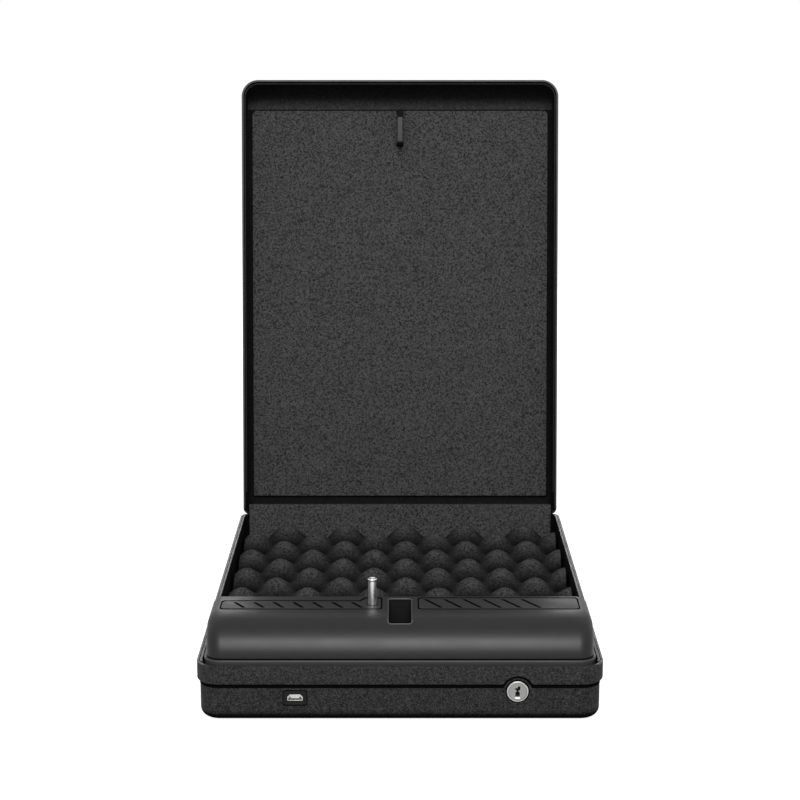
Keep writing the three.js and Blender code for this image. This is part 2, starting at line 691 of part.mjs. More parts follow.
function lockHousing() {
  const inside = housingLevels(HOUSING_WALL).reverse();
  const wall = HOUSING_WALL;
  let housing = solid(loft([
    ...inside,
    lipRing(wall, LIP_TOP - wall - 0.4),
    lipRing(wall, HOUSING_SKIRT_BOTTOM),
    lipRing(0, HOUSING_SKIRT_BOTTOM),
    lipRing(0, LIP_TOP - LIP_CHAMFER),
    lipRing(LIP_CHAMFER, LIP_TOP),
    ...housingLevels(0),
  ]));
  const rearHalf = housingHalfX + 0.6;
  housing = housing.add(slabY(roundedOutline([
    [-rearHalf, floorTop, REAR_WALL_CORNER], [rearHalf, floorTop, REAR_WALL_CORNER],
    [rearHalf, HOUSING_SKIRT_BOTTOM + 4, 0], [-rearHalf, HOUSING_SKIRT_BOTTOM + 4, 0],
  ]), housingBack - wall, housingBack));
  const wellTop = HOUSING_TOP - wall / 2;
  const well = slabZ(slotOutline(WELL_WALL), WELL_BOTTOM, wellTop);
  const keep = block(-slotHalf - WELL_WALL - 1, slotHalf + WELL_WALL + 1,
    front + SLOT_FRONT_INSET + WELL_WALL + 4, housingBack, WELL_BOTTOM - 1, HOUSING_TOP);
  housing = housing.add(well.intersect(keep));
  for (const [x, y] of postPlaces) {
    const isFront = y < front + SLOT_REAR_INSET / 2;
    const top = isFront ? POST_FRONT_TOP : HOUSING_TOP - wall / 2;
    housing = housing.add(rod('z', POST_RADIUS, floorTop, top, x, y, 16));
  }
  for (const [x, y] of postPlaces) {
    housing = housing.subtract(rod('z', SCREW_RADIUS + FIT, 0, floorTop + SCREW_LENGTH + 1, x, y, 16));
  }
  housing = housing.subtract(slabZ(slotOutline(0), WELL_BOTTOM - 1, HOUSING_TOP + 1));
  housing = housing.subtract(block(slotHalf - 1, slotHalf + WELL_WALL + 2,
    latchFront - FIT, latchBack + FIT, LATCH_LOW - FIT, LATCH_HIGH + FIT));
  housing = housing.subtract(pinHole());
  for (const side of [-1, 1]) {
    housing = housing.subtract(slabZ(trimOutline(side, FIT), HOUSING_TOP - TRIM_RECESS, HOUSING_TOP + 1));
  }
  return housing;
}

// A trim strip lies flush in its recess and carries a row of slanted grooves.
function trimStrip(side) {
  const top = HOUSING_TOP - TRIM_RECESS + FIT + TRIM_THICKNESS;
  let strip = slabZ(trimOutline(side, 0), HOUSING_TOP - TRIM_RECESS + FIT, top);
  const rear = side < 0 ? TRIM_NARROW_INSET : TRIM_REAR_INSET;
  const margin = 2.9;
  const slant = (rear - TRIM_FRONT_INSET - 2 * margin) * 0.63;
  const count = side < 0 ? 7 : 6;
  const first = side < 0 ? -trimOuterX + 10 : TRIM_INNER_X + 8.2;
  for (let i = 0; i < count; i += 1) {
    const x = first + i * SLASH_PITCH;
    const half = SLASH_WIDTH / 2;
    strip = strip.subtract(slabZ(outline([
      [x + slant / 2 - half, front + TRIM_FRONT_INSET + margin],
      [x + slant / 2 + half, front + TRIM_FRONT_INSET + margin],
      [x - slant / 2 + half, front + rear - margin],
      [x - slant / 2 - half, front + rear - margin],
    ]), top - SLASH_DEPTH, top + 1));
  }
  return side < 0 ? strip.subtract(pinHole()) : strip;
}

function housingScrew(x, y) {
  return turned([
    [0, 0.1], [SCREW_HEAD_RADIUS, 0.1], [SCREW_RADIUS, SCREW_HEAD_HEIGHT + 0.1],
    [SCREW_RADIUS, SCREW_LENGTH], [0, SCREW_LENGTH],
  ], true, [x, y, 0], 16);
}

// Hinges: knuckles on one axis, a leaf down the pan's rear wall and a leaf up the lid's.
function knuckle(x0, x1) {
  return rod('x', KNUCKLE_RADIUS, x0, x1, axisY, axisZ);
}

function hingeParts(x) {
  const left = x - HINGE_LENGTH / 2;
  const right = x + HINGE_LENGTH / 2;
  const leafBack = axisY + HINGE_INBOARD - SHEET - FIT;
  const leafFront = leafBack - LEAF_THICKNESS;
  const clear = KNUCKLE_RADIUS + FIT;
  const middleLeft = left + END_KNUCKLE_LENGTH + FIT;
  const middleRight = right - END_KNUCKLE_LENGTH - FIT;
  const bore = rod('x', HINGE_PIN_RADIUS + HINGE_BORE_PLAY, left - 1, right + 1, axisY, axisZ);
  const baseLeaf = block(left, right, leafFront, leafBack, axisZ - BASE_LEAF_REACH, axisZ)
    .add(knuckle(left, left + END_KNUCKLE_LENGTH))
    .add(knuckle(right - END_KNUCKLE_LENGTH, right))
    .subtract(block(middleLeft - FIT, middleRight + FIT,
      leafFront - 2, leafBack + 1, axisZ - clear, axisZ + clear))
    .subtract(bore);
  const lidLeaf = block(left, right, leafFront, leafBack, axisZ, axisZ + LID_LEAF_REACH)
    .subtract(block(left - 1, middleLeft, leafFront - 1, leafBack + 1, axisZ - clear, axisZ + clear))
    .subtract(block(middleRight, right + 1, leafFront - 1, leafBack + 1, axisZ - clear, axisZ + clear))
    .add(knuckle(middleLeft, middleRight))
    .subtract(bore);
  const head = HINGE_PIN_RADIUS + 0.5;
  const pinLeft = left - FIT - HINGE_PIN_HEAD;
  const pinRight = right + FIT + HINGE_PIN_HEAD;
  const pin = rod('x', HINGE_PIN_RADIUS, pinLeft, pinRight, axisY, axisZ)
    .add(rod('x', head, pinLeft, left - FIT, axisY, axisZ))
    .add(rod('x', head, right + FIT, pinRight, axisY, axisZ));
  return { baseLeaf, lidLeaf, pin };
}

// Key lock: the nose shows through the pan's front wall, and a bracket and nut hold the body.
function lockCylinder() {
  const nose = front + LOCK_FACE_INSET;
  const shoulder = wallInside + FIT;
  const end = lockBodyEnd;
  const bore = LOCK_CORE_RADIUS + LOCK_CORE_PLAY;
  return turned([
    [bore, nose], [LOCK_NOSE_RADIUS - 0.3, nose], [LOCK_NOSE_RADIUS, nose + 0.3],
    [LOCK_NOSE_RADIUS, shoulder], [LOCK_FLANGE_RADIUS, shoulder],
    [LOCK_FLANGE_RADIUS, shoulder + LOCK_FLANGE], [LOCK_BODY_RADIUS, shoulder + LOCK_FLANGE],
    [LOCK_BODY_RADIUS, end], [bore, end], [bore, nose],
  ], false, [lockX, 0, LOCK_Z], 32);
}

const lockBodyEnd = latchFront - FIT - 1.2;

function keywayOutline() {
  return outline([
    [lockX - 0.9, LOCK_Z - 3.5], [lockX + 1, LOCK_Z - 3.5], [lockX + 1, LOCK_Z - 0.9],
    [lockX + 0.4, LOCK_Z - 0.5], [lockX + 0.4, LOCK_Z + 0.4], [lockX + 1.4, LOCK_Z + 1],
    [lockX + 1.4, LOCK_Z + 2], [lockX + 0.5, LOCK_Z + 2.5], [lockX + 0.5, LOCK_Z + 3.5],
    [lockX - 0.6, LOCK_Z + 3.5], [lockX - 0.6, LOCK_Z + 1.8], [lockX - 1.3, LOCK_Z + 1.3],
    [lockX - 1.3, LOCK_Z + 0.5], [lockX - 0.9, LOCK_Z + 0.1],
  ]);
}

function lockCore() {
  const face = front + LOCK_FACE_INSET + 0.3;
  const stubEnd = lockBodyEnd + FIT + LOCK_STUB_LENGTH;
  const core = turned([
    [0, face], [LOCK_CORE_RADIUS - 0.2, face], [LOCK_CORE_RADIUS, face + 0.2],
    [LOCK_CORE_RADIUS, lockBodyEnd + FIT], [LOCK_STUB_RADIUS, lockBodyEnd + FIT],
    [LOCK_STUB_RADIUS, stubEnd], [0, stubEnd],
  ], false, [lockX, 0, LOCK_Z], 32);
  return core.subtract(slabY(keywayOutline(), face - 1, face + KEYWAY_DEPTH));
}

function keyCam() {
  const half = KEY_CAM_WIDTH / 2;
  const shape = new THREE.Shape();
  const side = Math.asin(half / KEY_CAM_HUB);
  shape.moveTo(lockX + half, LOCK_Z + KEY_CAM_REACH - half);
  shape.absarc(lockX, LOCK_Z + KEY_CAM_REACH - half, half, 0, Math.PI, false);
  shape.absarc(lockX, LOCK_Z, KEY_CAM_HUB, Math.PI / 2 + side, Math.PI * 2.5 - side, false);
  shape.closePath();
  return slabY(shape, latchFront, latchBack)
    .subtract(rod('y', LOCK_STUB_RADIUS + FIT, latchFront - 1, latchBack + 1, lockX, LOCK_Z, 16));
}

function hexNut(y0, y1, radius, bore) {
  return rod('y', radius, y0, y1, lockX, LOCK_Z, 6)
    .subtract(rod('y', bore, y0 - 1, y1 + 1, lockX, LOCK_Z, 16));
}

function lockBracket() {
  const y = wallInside + FIT + LOCK_FLANGE + FIT;
  const t = FRAME_SHEET;
  const high = LOCK_Z + LOCK_FLANGE_RADIUS + FIT;
  const bend = outline([
    [y, high], [y, 5.7], [y + 4.8, floorTop], [y + 17, floorTop],
    [y + 17, floorTop + t], [y + 5.4, floorTop + t], [y + t, 6.3], [y + t, high],
  ]);
  const half = LOCK_FLANGE_RADIUS + 2.5;
  return slabX(bend, lockX - half, lockX + half)
    .subtract(rod('y', LOCK_BODY_RADIUS + FIT, y - 1, y + t + 1, lockX, LOCK_Z));
}

// Latch bar: slides along X in its frame; its nose passes through the lid's striker.
function latchBar() {
  const bar = block(latchNose + 3, latchEnd, latchFront, latchBack, LATCH_LOW, LATCH_HIGH);
  const nose = slabY(outline([
    [latchNose, LATCH_LOW], [latchNose + 3.5, LATCH_LOW],
    [latchNose + 3.5, LATCH_HIGH], [latchNose, LATCH_HIGH - 2],
  ]), latchFront, latchBack);
  const middle = (LATCH_LOW + LATCH_HIGH) / 2;
  return bar.add(nose)
    .add(block(motorFingerX, motorFingerX + FINGER_WIDTH, latchFront, latchBack, MOTOR_Z, LATCH_LOW + 1))
    .add(block(keyFingerX, keyFingerX + FINGER_WIDTH, latchFront, latchBack, LOCK_Z - 3, LATCH_LOW + 1))
    .add(block(latchEnd - 1, latchEnd + 3, latchFront + 0.5, latchBack - 0.5, middle - 0.8, middle + 0.8));
}

function latchFrame() {
  const y0 = latchY - FRAME_HALF_WIDTH;
  const y1 = latchY + FRAME_HALF_WIDTH;
  const top = LATCH_HIGH + 1.8;
  let frame = block(frameLeftX, frameRightX + FRAME_SHEET, y0, y1, floorTop, floorTop + FRAME_SHEET);
  for (const x of [frameLeftX, frameMiddleX, frameRightX]) {
    frame = frame.add(block(x, x + FRAME_SHEET, y0, y1, floorTop, top));
  }
  const window = block(frameLeftX - 1, frameMiddleX + FRAME_SHEET + 1,
    latchFront - FIT, latchBack + FIT, LATCH_LOW - FIT, LATCH_HIGH + FIT);
  return frame.subtract(window);
}

// Striker: a flat bar bent to a loop under the lid.
function striker() {
  const top = lidFoamTop;
  const bar = STRIKER_BAR;
  const loop = roundedOutline([
    [strikerFront, top, 0], [strikerFront, STRIKER_BOTTOM, STRIKER_BEND],
    [strikerBack, STRIKER_BOTTOM, STRIKER_BEND], [strikerBack, top, 0],
    [strikerBack - bar, top, 0], [strikerBack - bar, STRIKER_BOTTOM + bar, STRIKER_BEND - bar + 0.4],
    [strikerFront + bar, STRIKER_BOTTOM + bar, STRIKER_BEND - bar + 0.4], [strikerFront + bar, top, 0],
  ]);
  return slabX(loop, -STRIKER_WIDTH / 2, STRIKER_WIDTH / 2);
}

// Release motor: its snail cam lets the latch bar move in step with its turn.
const gearboxBack = latchFront - 5.85;

function gearMotor() {
  const gearboxFront = gearboxBack - GEARBOX_LENGTH;
  const canFront = gearboxFront - MOTOR_CAN_LENGTH;
  const flats = block(motorX - MOTOR_RADIUS - 1, motorX + MOTOR_RADIUS + 1,
    canFront - 1, gearboxFront + 1, MOTOR_Z - MOTOR_FLAT, MOTOR_Z + MOTOR_FLAT);
  return rod('y', MOTOR_RADIUS, canFront, gearboxFront + 0.5, motorX, MOTOR_Z).intersect(flats)
    .add(block(motorX - MOTOR_RADIUS, motorX + MOTOR_RADIUS, gearboxFront, gearboxBack,
      MOTOR_Z - MOTOR_FLAT, MOTOR_Z + MOTOR_FLAT))
    .add(rod('y', MOTOR_FLAT / 2, canFront - 1, canFront + 0.5, motorX, MOTOR_Z, 12));
}

function motorBracket() {
  const y = gearboxBack + FIT;
  const t = LEAF_THICKNESS;
  const bend = outline([
    [y - 12, floorTop], [y + t, floorTop], [y + t, MOTOR_Z + 8], [y, MOTOR_Z + 8],
    [y, floorTop + t], [y - 12, floorTop + t],
  ]);
  return slabX(bend, motorX - 8, motorX + 8)
    .subtract(rod('y', SHAFT_RADIUS + 0.7, y - 1, y + t + 1, motorX, MOTOR_Z, 16));
}

function motorCam() {
  const fall = LATCH_TRAVEL / Math.PI;
  const points = [];
  for (let i = 0; i <= 18; i += 1) {
    const angle = (Math.PI * i) / 18;
    points.push([angle, camRadius - fall * angle]);
  }
  for (const share of [0.25, 0.5]) points.push([Math.PI * (1 + share), CAM_SMALL_RADIUS + 1]);
  points.push([Math.PI * 1.8, CAM_SMALL_RADIUS + 2.5], [Math.PI * 1.86, camRadius]);
  return slabY(outline(points.map(([angle, radius]) => [
    motorX + radius * Math.cos(angle), MOTOR_Z + radius * Math.sin(angle),
  ])), latchFront, latchBack)
    .subtract(rod('y', SHAFT_RADIUS + FIT, latchFront - 1, latchBack + 1, motorX, MOTOR_Z, 12));
}

// Pop-up pin: slides in a cup that holds its spring.
const plungerTop = HOUSING_TOP + PLUNGER_SHOWN;
const collarTop = GUIDE_TOP - GUIDE_END - FIT;

function plungerGuide() {
  const cavity = rod('z', GUIDE_BORE, floorTop + GUIDE_END, GUIDE_TOP - GUIDE_END, plungerX, plungerY);
  const mouth = rod('z', PLUNGER_RADIUS + FIT, GUIDE_TOP - GUIDE_END - 1, GUIDE_TOP + 1, plungerX, plungerY);
  return rod('z', GUIDE_RADIUS, floorTop, GUIDE_TOP, plungerX, plungerY).subtract(cavity).subtract(mouth);
}

function plungerPin() {
  const low = collarTop - PLUNGER_COLLAR;
  return turned([
    [0, low - PLUNGER_SPIGOT], [PLUNGER_SPIGOT_RADIUS, low - PLUNGER_SPIGOT], [PLUNGER_SPIGOT_RADIUS, low],
    [PLUNGER_COLLAR_RADIUS, low], [PLUNGER_COLLAR_RADIUS, collarTop], [PLUNGER_RADIUS, collarTop],
    [PLUNGER_RADIUS, plungerTop - 0.5], [PLUNGER_RADIUS - 0.5, plungerTop], [PLUNGER_RADIUS - 1, plungerTop],
    [PLUNGER_RADIUS - 1.3, plungerTop - 0.3], [0, plungerTop - 0.3],
  ], true, [plungerX, plungerY, 0]);
}

// Charging port and its bezel in the pan's front wall.
function usbOutline(growth) {
  const w = USB_SHELL_WIDTH / 2 + growth;
  const h = USB_SHELL_HEIGHT / 2 + growth;
  return outline([
    [usbX - w, USB_Z - h], [usbX + w, USB_Z - h], [usbX + w, USB_Z + h - 1.4],
    [usbX + w - 1.3, USB_Z + h], [usbX - w + 1.3, USB_Z + h], [usbX - w, USB_Z + h - 1.4],
  ]);
}

const bezelFace = panFront - USB_BEZEL_PROUD;
const bezelFlange = wallInside + FIT;

function usbBezel() {
  const w = USB_BEZEL_WIDTH / 2;
  const h = USB_BEZEL_HEIGHT / 2;
  return slabY(roundedBox(usbX - w, usbX + w, USB_Z - h, USB_Z + h, 1.2), bezelFace, bezelFlange + 0.5)
    .add(slabY(roundedBox(usbX - w - 1.4, usbX + w + 1.4, USB_Z - h - 1.4, USB_Z + h + 1.4, 1.6),
      bezelFlange, bezelFlange + 1.2))
    .subtract(slabY(usbOutline(FIT), bezelFace - 1, bezelFlange + 3))
    .subtract(slabY(roundedBox(usbX - w + 1, usbX + w - 1, USB_Z - h + 1.2, USB_Z + h - 1, 0.8),
      bezelFace - 1, bezelFace + 0.6));
}

function usbPort() {
  const mouth = bezelFace + 0.9;
  const end = mouth + USB_SHELL_DEPTH;
  const tongueHalf = USB_SHELL_WIDTH / 2 - 1.6;
  return slabY(usbOutline(0), mouth, end)
    .subtract(slabY(usbOutline(-USB_SHELL_WALL), mouth - 1, end - 1))
    .add(block(usbX - tongueHalf, usbX + tongueHalf, mouth + 0.8, end - 0.5, USB_Z + 0.1, USB_Z + 0.8));
}

const boardTop = USB_Z - USB_SHELL_HEIGHT / 2 - FIT;
const boardFront = bezelFlange + 1.2 + FIT;

// Parts stand on the board in a row: a chip, a socket, a capacitor and, by itself, the buzzer.
const chipX = boardLeftX + PART_SPACING;
const buzzerX = chipX + CHIP_SIZE + PART_SPACING + BUZZER_RADIUS;
const capacitorX = buzzerX + BUZZER_RADIUS + PART_SPACING + CAPACITOR_RADIUS;
const socketX = capacitorX + CAPACITOR_RADIUS + PART_SPACING;
const partsY = boardFront + BOARD_DEPTH - PART_SPACING - CHIP_SIZE / 2;

function controlBoard() {
  const low = boardTop - BOARD_THICKNESS;
  const right = boardLeftX + BOARD_WIDTH;
  const root = boardTop - BOARD_THICKNESS / 2;
  const chip = CHIP_SIZE / 2;
  const socket = SOCKET_SIZE / 2;
  return block(boardLeftX, right, boardFront, boardFront + BOARD_DEPTH, low, boardTop)
    .add(block(chipX, chipX + CHIP_SIZE, partsY - chip, partsY + chip, root, boardTop + CHIP_HEIGHT))
    .add(block(socketX, socketX + SOCKET_SIZE, partsY - socket, partsY + socket,
      root, boardTop + SOCKET_HEIGHT))
    .add(rod('z', CAPACITOR_RADIUS, root, boardTop + CAPACITOR_HEIGHT, capacitorX, partsY, 16));
}

function boardTray() {
  const low = boardTop - BOARD_THICKNESS - FIT;
  const y0 = boardFront + 5.5;
  const y1 = boardFront + BOARD_DEPTH - 0.5;
  const x0 = boardLeftX;
  const x1 = boardLeftX + BOARD_WIDTH;
  let tray = block(x0, x1, y0, y1, floorTop, floorTop + SHEET);
  for (const x of [x0 + 3, x1 - 3]) {
    for (const y of [y0 + 3, y1 - 3]) tray = tray.add(rod('z', 2.5, floorTop, low, x, y, 16));
  }
  return tray;
}

function buzzer() {
  const top = boardTop + FIT + BUZZER_HEIGHT;
  return rod('z', BUZZER_RADIUS, boardTop + FIT, top, buzzerX, partsY)
    .subtract(rod('z', BUZZER_RADIUS / 5, top - SHEET, top + 1, buzzerX, partsY, 12));
}

const cellZ = floorTop + CELL_HOLDER_WALL + CELL_RADIUS;
const cellY = housingBack - CELL_REAR_MARGIN;

function batteryCell() {
  const right = cellLeftX + CELL_LENGTH;
  return rod('x', CELL_RADIUS, cellLeftX, right - 1, cellY, cellZ, 32)
    .add(rod('x', 3, right - 1.5, right, cellY, cellZ, 16));
}

function batteryHolder() {
  const x0 = cellLeftX - FIT - CELL_HOLDER_WALL;
  const x1 = cellLeftX + CELL_LENGTH + FIT + CELL_HOLDER_WALL;
  const half = CELL_RADIUS + 1;
  return block(x0, x1, cellY - half, cellY + half, floorTop, floorTop + CELL_HOLDER_HEIGHT)
    .subtract(rod('x', CELL_RADIUS + FIT, cellLeftX - FIT, x1 - CELL_HOLDER_WALL, cellY, cellZ, 32))
    .subtract(block(cellLeftX + 15, cellLeftX + CELL_LENGTH - 15, cellY - half - 1, cellY + half + 1,
      floorTop + CELL_HOLDER_WALL + 1.5, floorTop + CELL_HOLDER_HEIGHT + 1));
}

// Lid: a pressed cover whose front face curves back to the flat top.
function lidRing(sideInset, frontInset, z) {
  return ring(lidHalfX - sideInset, panFront + frontInset, panBack - sideInset, z,
    Math.max(panCorner - sideInset, 1));
}

function lidLevels(wall) {
  const run = LID_FRONT_RUN - wall;
  const rise = LID_FRONT_RISE - wall;
  const radius = LID_EDGE_RADIUS - wall;
  const start = LID_DEPTH - LID_FRONT_RISE;
  return [0, 15, 30, 45, 55, 65, 75, 83, 90].map((degrees) => {
    const angle = THREE.MathUtils.degToRad(degrees);
    const height = start + rise * Math.sin(angle);
    const over = Math.max(height - (LID_DEPTH - wall - radius), 0);
    const pullIn = radius - Math.sqrt(Math.max(radius ** 2 - over ** 2, 0));
    return lidRing(wall + pullIn, wall + run * (1 - Math.cos(angle)), lidRim + height);
  });
}

function lidShell() {
  let shell = solid(loft([
    ...lidLevels(SHEET).reverse(),
    lidRing(SHEET, SHEET, lidRim),
    lidRing(0, 0, lidRim),
    ...lidLevels(0),
  ]));
  const reach = HINGE_ABOVE_RIM;
  const sweep = rod('x', reach, -BASE_WIDTH, BASE_WIDTH, axisY, axisZ, 64);
  const corner = block(-BASE_WIDTH / 2, BASE_WIDTH / 2, axisY, axisY + 3 * reach, axisZ - 2 * reach, axisZ);
  shell = shell.subtract(corner.subtract(sweep));
  const hingeHalf = HINGE_LENGTH / 2 + FIT;
  for (const x of [-hingeX, hingeX]) {
    shell = shell.subtract(block(x - hingeHalf, x + hingeHalf, axisY, panBack + 1,
      lidRim - 1, axisZ + KNUCKLE_RADIUS + 2 * FIT));
  }
  const half = KEYPAD_WIDTH / 2 - KEYPAD_RIM + FIT;
  const deep = KEYPAD_LENGTH / 2 - KEYPAD_RIM + 2 + FIT;
  return shell.subtract(slabZ(
    roundedBox(-half, half, keypadY - deep, keypadY + deep, KEYPAD_CORNER - 2), lidCeiling - 1, lidTop + 1));
}

function lidInnerFrame() {
  const low = lidRim + LID_FRAME_SETBACK;
  const high = low + LID_FRAME_HEIGHT;
  const outer = SHEET + FIT;
  const inner = outer + LID_FRAME_THICKNESS;
  const slope = 0.35;
  const band = solid(loft([
    lidRing(outer, outer + slope, low), lidRing(outer, outer + slope, high),
    lidRing(inner, inner + slope, high), lidRing(inner, inner + slope, low),
  ], true));
  return band.subtract(block(-BASE_WIDTH, BASE_WIDTH, axisY - LID_FRAME_REAR_STOP, BASE_LENGTH,
    low - 1, high + 1));
}

function lidFoam() {
  const half = lidHalfX - SHEET - LID_FOAM_SIDE_GAP;
  const f = panFront + LID_FOAM_FRONT_MARGIN;
  const b = panBack - LID_FOAM_REAR_MARGIN;
  const c = LID_FOAM_CORNER;
  let sheet = slabZ(roundedOutline([[-half, f, c], [half, f, c], [half, b, 1], [-half, b, 1]]),
    lidFoamFace, lidFoamTop);
  const legHalf = STRIKER_WIDTH / 2 + FIT;
  for (const [y0, y1] of [
    [strikerFront - 4, strikerFront + STRIKER_BAR], [strikerBack - STRIKER_BAR, strikerBack],
  ]) {
    sheet = sheet.subtract(block(-legHalf, legHalf, y0 - FIT, y1 + FIT, lidFoamFace - 1, lidFoamTop + 1));
  }
  const w = keypadInner.half + FIT;
  const d = keypadInner.deep + FIT;
  return sheet.subtract(block(-w, w, keypadY - d, keypadY + d, keypadBoardLow - FIT, lidFoamTop + 1));
}

// Keypad: a bezel through the lid's top, four sprung keys, a finger sensor and a thin board.
const keypadInner = { half: KEYPAD_WIDTH / 2 - KEYPAD_RIM, deep: KEYPAD_LENGTH / 2 - KEYPAD_RIM + 2 };
const plateLow = lidTop + FIT;
const plateHigh = plateLow + KEYPAD_PLATE;
const keyFlangeTop = plateLow - FIT;
const keyFlangeLow = keyFlangeTop - KEY_FLANGE_HEIGHT;
const keypadBoardHigh = keyFlangeLow - KEY_TRAVEL - FIT;
const keypadBoardLow = keypadBoardHigh - KEYPAD_BOARD;

function keypadBezel() {
  const { half, deep } = keypadInner;
  const skirt = 1.1;
  let bezel = slabZ(roundedBox(-KEYPAD_WIDTH / 2, KEYPAD_WIDTH / 2,
    keypadY - KEYPAD_LENGTH / 2, keypadY + KEYPAD_LENGTH / 2, KEYPAD_CORNER), plateLow, plateHigh);
  bezel = bezel.add(slabZ(roundedBox(-half, half, keypadY - deep, keypadY + deep, KEYPAD_CORNER - 2.2),
    keypadBoardHigh + FIT, plateLow + 0.5));
  bezel = bezel.subtract(slabZ(roundedBox(-half + skirt, half - skirt,
    keypadY - deep + skirt, keypadY + deep - skirt, KEYPAD_CORNER - 3), keypadBoardHigh - 1, plateLow));
  const w = KEY_WIDTH / 2 + FIT;
  const d = KEY_LENGTH / 2 + FIT;
  for (const x of KEY_X) {
    const opening = roundedBox(x - w, x + w, keypadY - d, keypadY + d, 1.8);
    bezel = bezel.subtract(slabZ(opening, plateLow - 1, plateHigh + 1));
  }
  return bezel.subtract(rod('z', SENSOR_RADIUS + FIT, plateLow - 1, plateHigh + 1, 0, keypadY, 32));
}

function key(x) {
  const w = KEY_WIDTH / 2;
  const d = KEY_LENGTH / 2;
  const g = KEY_FLANGE;
  const cap = roundedBox(x - w, x + w, keypadY - d, keypadY + d, 1.5);
  const flange = roundedBox(x - w - g, x + w + g, keypadY - d - g, keypadY + d + g, 1.5);
  return slabZ(cap, keyFlangeTop - 0.3, plateHigh + KEY_PROUD)
    .add(slabZ(flange, keyFlangeLow, keyFlangeTop));
}

function fingerSensor() {
  return turned([
    [0, keypadBoardHigh + FIT], [SENSOR_RADIUS, keypadBoardHigh + FIT], [SENSOR_RADIUS, plateHigh - 0.2],
    [SENSOR_RADIUS - 1, plateHigh - 0.2], [SENSOR_RADIUS - 2.2, plateHigh - 0.7], [0, plateHigh - 0.7],
  ], true, [0, keypadY, 0], 32);
}

function keypadBoard() {
  const { half, deep } = keypadInner;
  return block(-half, half, keypadY - deep, keypadY + deep, keypadBoardLow, keypadBoardHigh);
}

// Base
add('base_pan', basePan(), paint);
add('base_collar', baseCollar(), paintedEdge);
for (const [name, x, y] of [
  ['foot_front_left', -footX, front + FOOT_INSET], ['foot_front_right', footX, front + FOOT_INSET],
  ['foot_rear_left', -footX, -front - FOOT_INSET], ['foot_rear_right', footX, -front - FOOT_INSET],
]) add(name, foot(x, y), rubber);
add('floor_foam', floorFoam(), foam);
add('rear_foam', rearFoam(), foam);

// Lock housing and its trim
add('lock_housing', lockHousing(), satinPlastic);
add('trim_strip_left', trimStrip(-1), trimPlastic);
add('trim_strip_right', trimStrip(1), trimPlastic);
postPlaces.forEach(([x, y], i) => add(`housing_screw_${i + 1}`, housingScrew(x, y), steel));

// Latch, motor and key lock
add('latch_frame', latchFrame(), steel);
add('latch_bar', latchBar(), steel);
add('latch_spring', coil('x', 2, SPRING_WIRE, latchEnd + FIT, frameRightX - FIT, 4,
  latchY, (LATCH_LOW + LATCH_HIGH) / 2), steel);
add('gear_motor', gearMotor(), steel);
add('motor_bracket', motorBracket(), steel);
add('motor_shaft', rod('y', SHAFT_RADIUS, gearboxBack + FIT, latchBack + 0.8, motorX, MOTOR_Z, 12), steel);
add('motor_cam', motorCam(), brass);
add('lock_cylinder', lockCylinder(), steel);
add('lock_core', lockCore(), steel);
add('lock_cam', keyCam(), steel);
add('lock_cam_nut', hexNut(latchBack + FIT, latchBack + FIT + 2.2, 4.6, LOCK_STUB_RADIUS + FIT), steel);
add('lock_bracket', lockBracket(), steel);
const nutFront = wallInside + FIT + LOCK_FLANGE + FIT + FRAME_SHEET + FIT;
const nutBore = LOCK_BODY_RADIUS + FIT;
add('lock_nut', hexNut(nutFront, nutFront + LOCK_NUT_THICKNESS, LOCK_NUT_RADIUS, nutBore), brass);

// Pop-up pin
add('plunger_guide', plungerGuide(), steel);
add('plunger_pin', plungerPin(), chrome);
add('plunger_spring', coil('z', 2.8, SPRING_WIRE, floorTop + GUIDE_END + FIT,
  collarTop - PLUNGER_COLLAR - FIT, 8, plungerX, plungerY), steel);

// Electronics
add('usb_bezel', usbBezel(), blackPlastic);
add('usb_port', usbPort(), steel);
add('control_board', controlBoard(), circuit);
add('board_tray', boardTray(), blackPlastic);
add('buzzer', buzzer(), blackPlastic);
add('battery_cell', batteryCell(), cellSleeve);
add('battery_holder', batteryHolder(), blackPlastic);

// Lid
add('lid_shell', lidShell(), paint, lid);
add('lid_inner_frame', lidInnerFrame(), paintedEdge, lid);
add('lid_foam', lidFoam(), foam, lid);
add('lid_striker', striker(), paintedEdge, lid);
for (const [side, x] of [['left', -hingeX], ['right', hingeX]]) {
  const { baseLeaf, lidLeaf, pin } = hingeParts(x);
  add(`hinge_leaf_base_${side}`, baseLeaf, paintedEdge);
  add(`hinge_leaf_lid_${side}`, lidLeaf, paintedEdge, lid);
  add(`hinge_pin_${side}`, pin, steel);
}
add('keypad_bezel', keypadBezel(), blackPlastic, lid);
add('keypad_board', keypadBoard(), circuit, lid);
add('fingerprint_sensor', fingerSensor(), darkGlass, lid);
KEY_X.forEach((x, i) => add(`key_${i + 1}`, key(x), blackPlastic, lid));

export default safe;
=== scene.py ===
"""Portable car safe with its lid open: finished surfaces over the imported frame.

Metres in the scene, millimetres in this file. +X is right, -Y is the front, +Z is up. Pieces of the
lid are worked out with the lid closed and then turned open about the hinge line, in their meshes.
"""

import math
from collections import namedtuple

import bpy
import numpy as np
from mathutils import Matrix, Vector


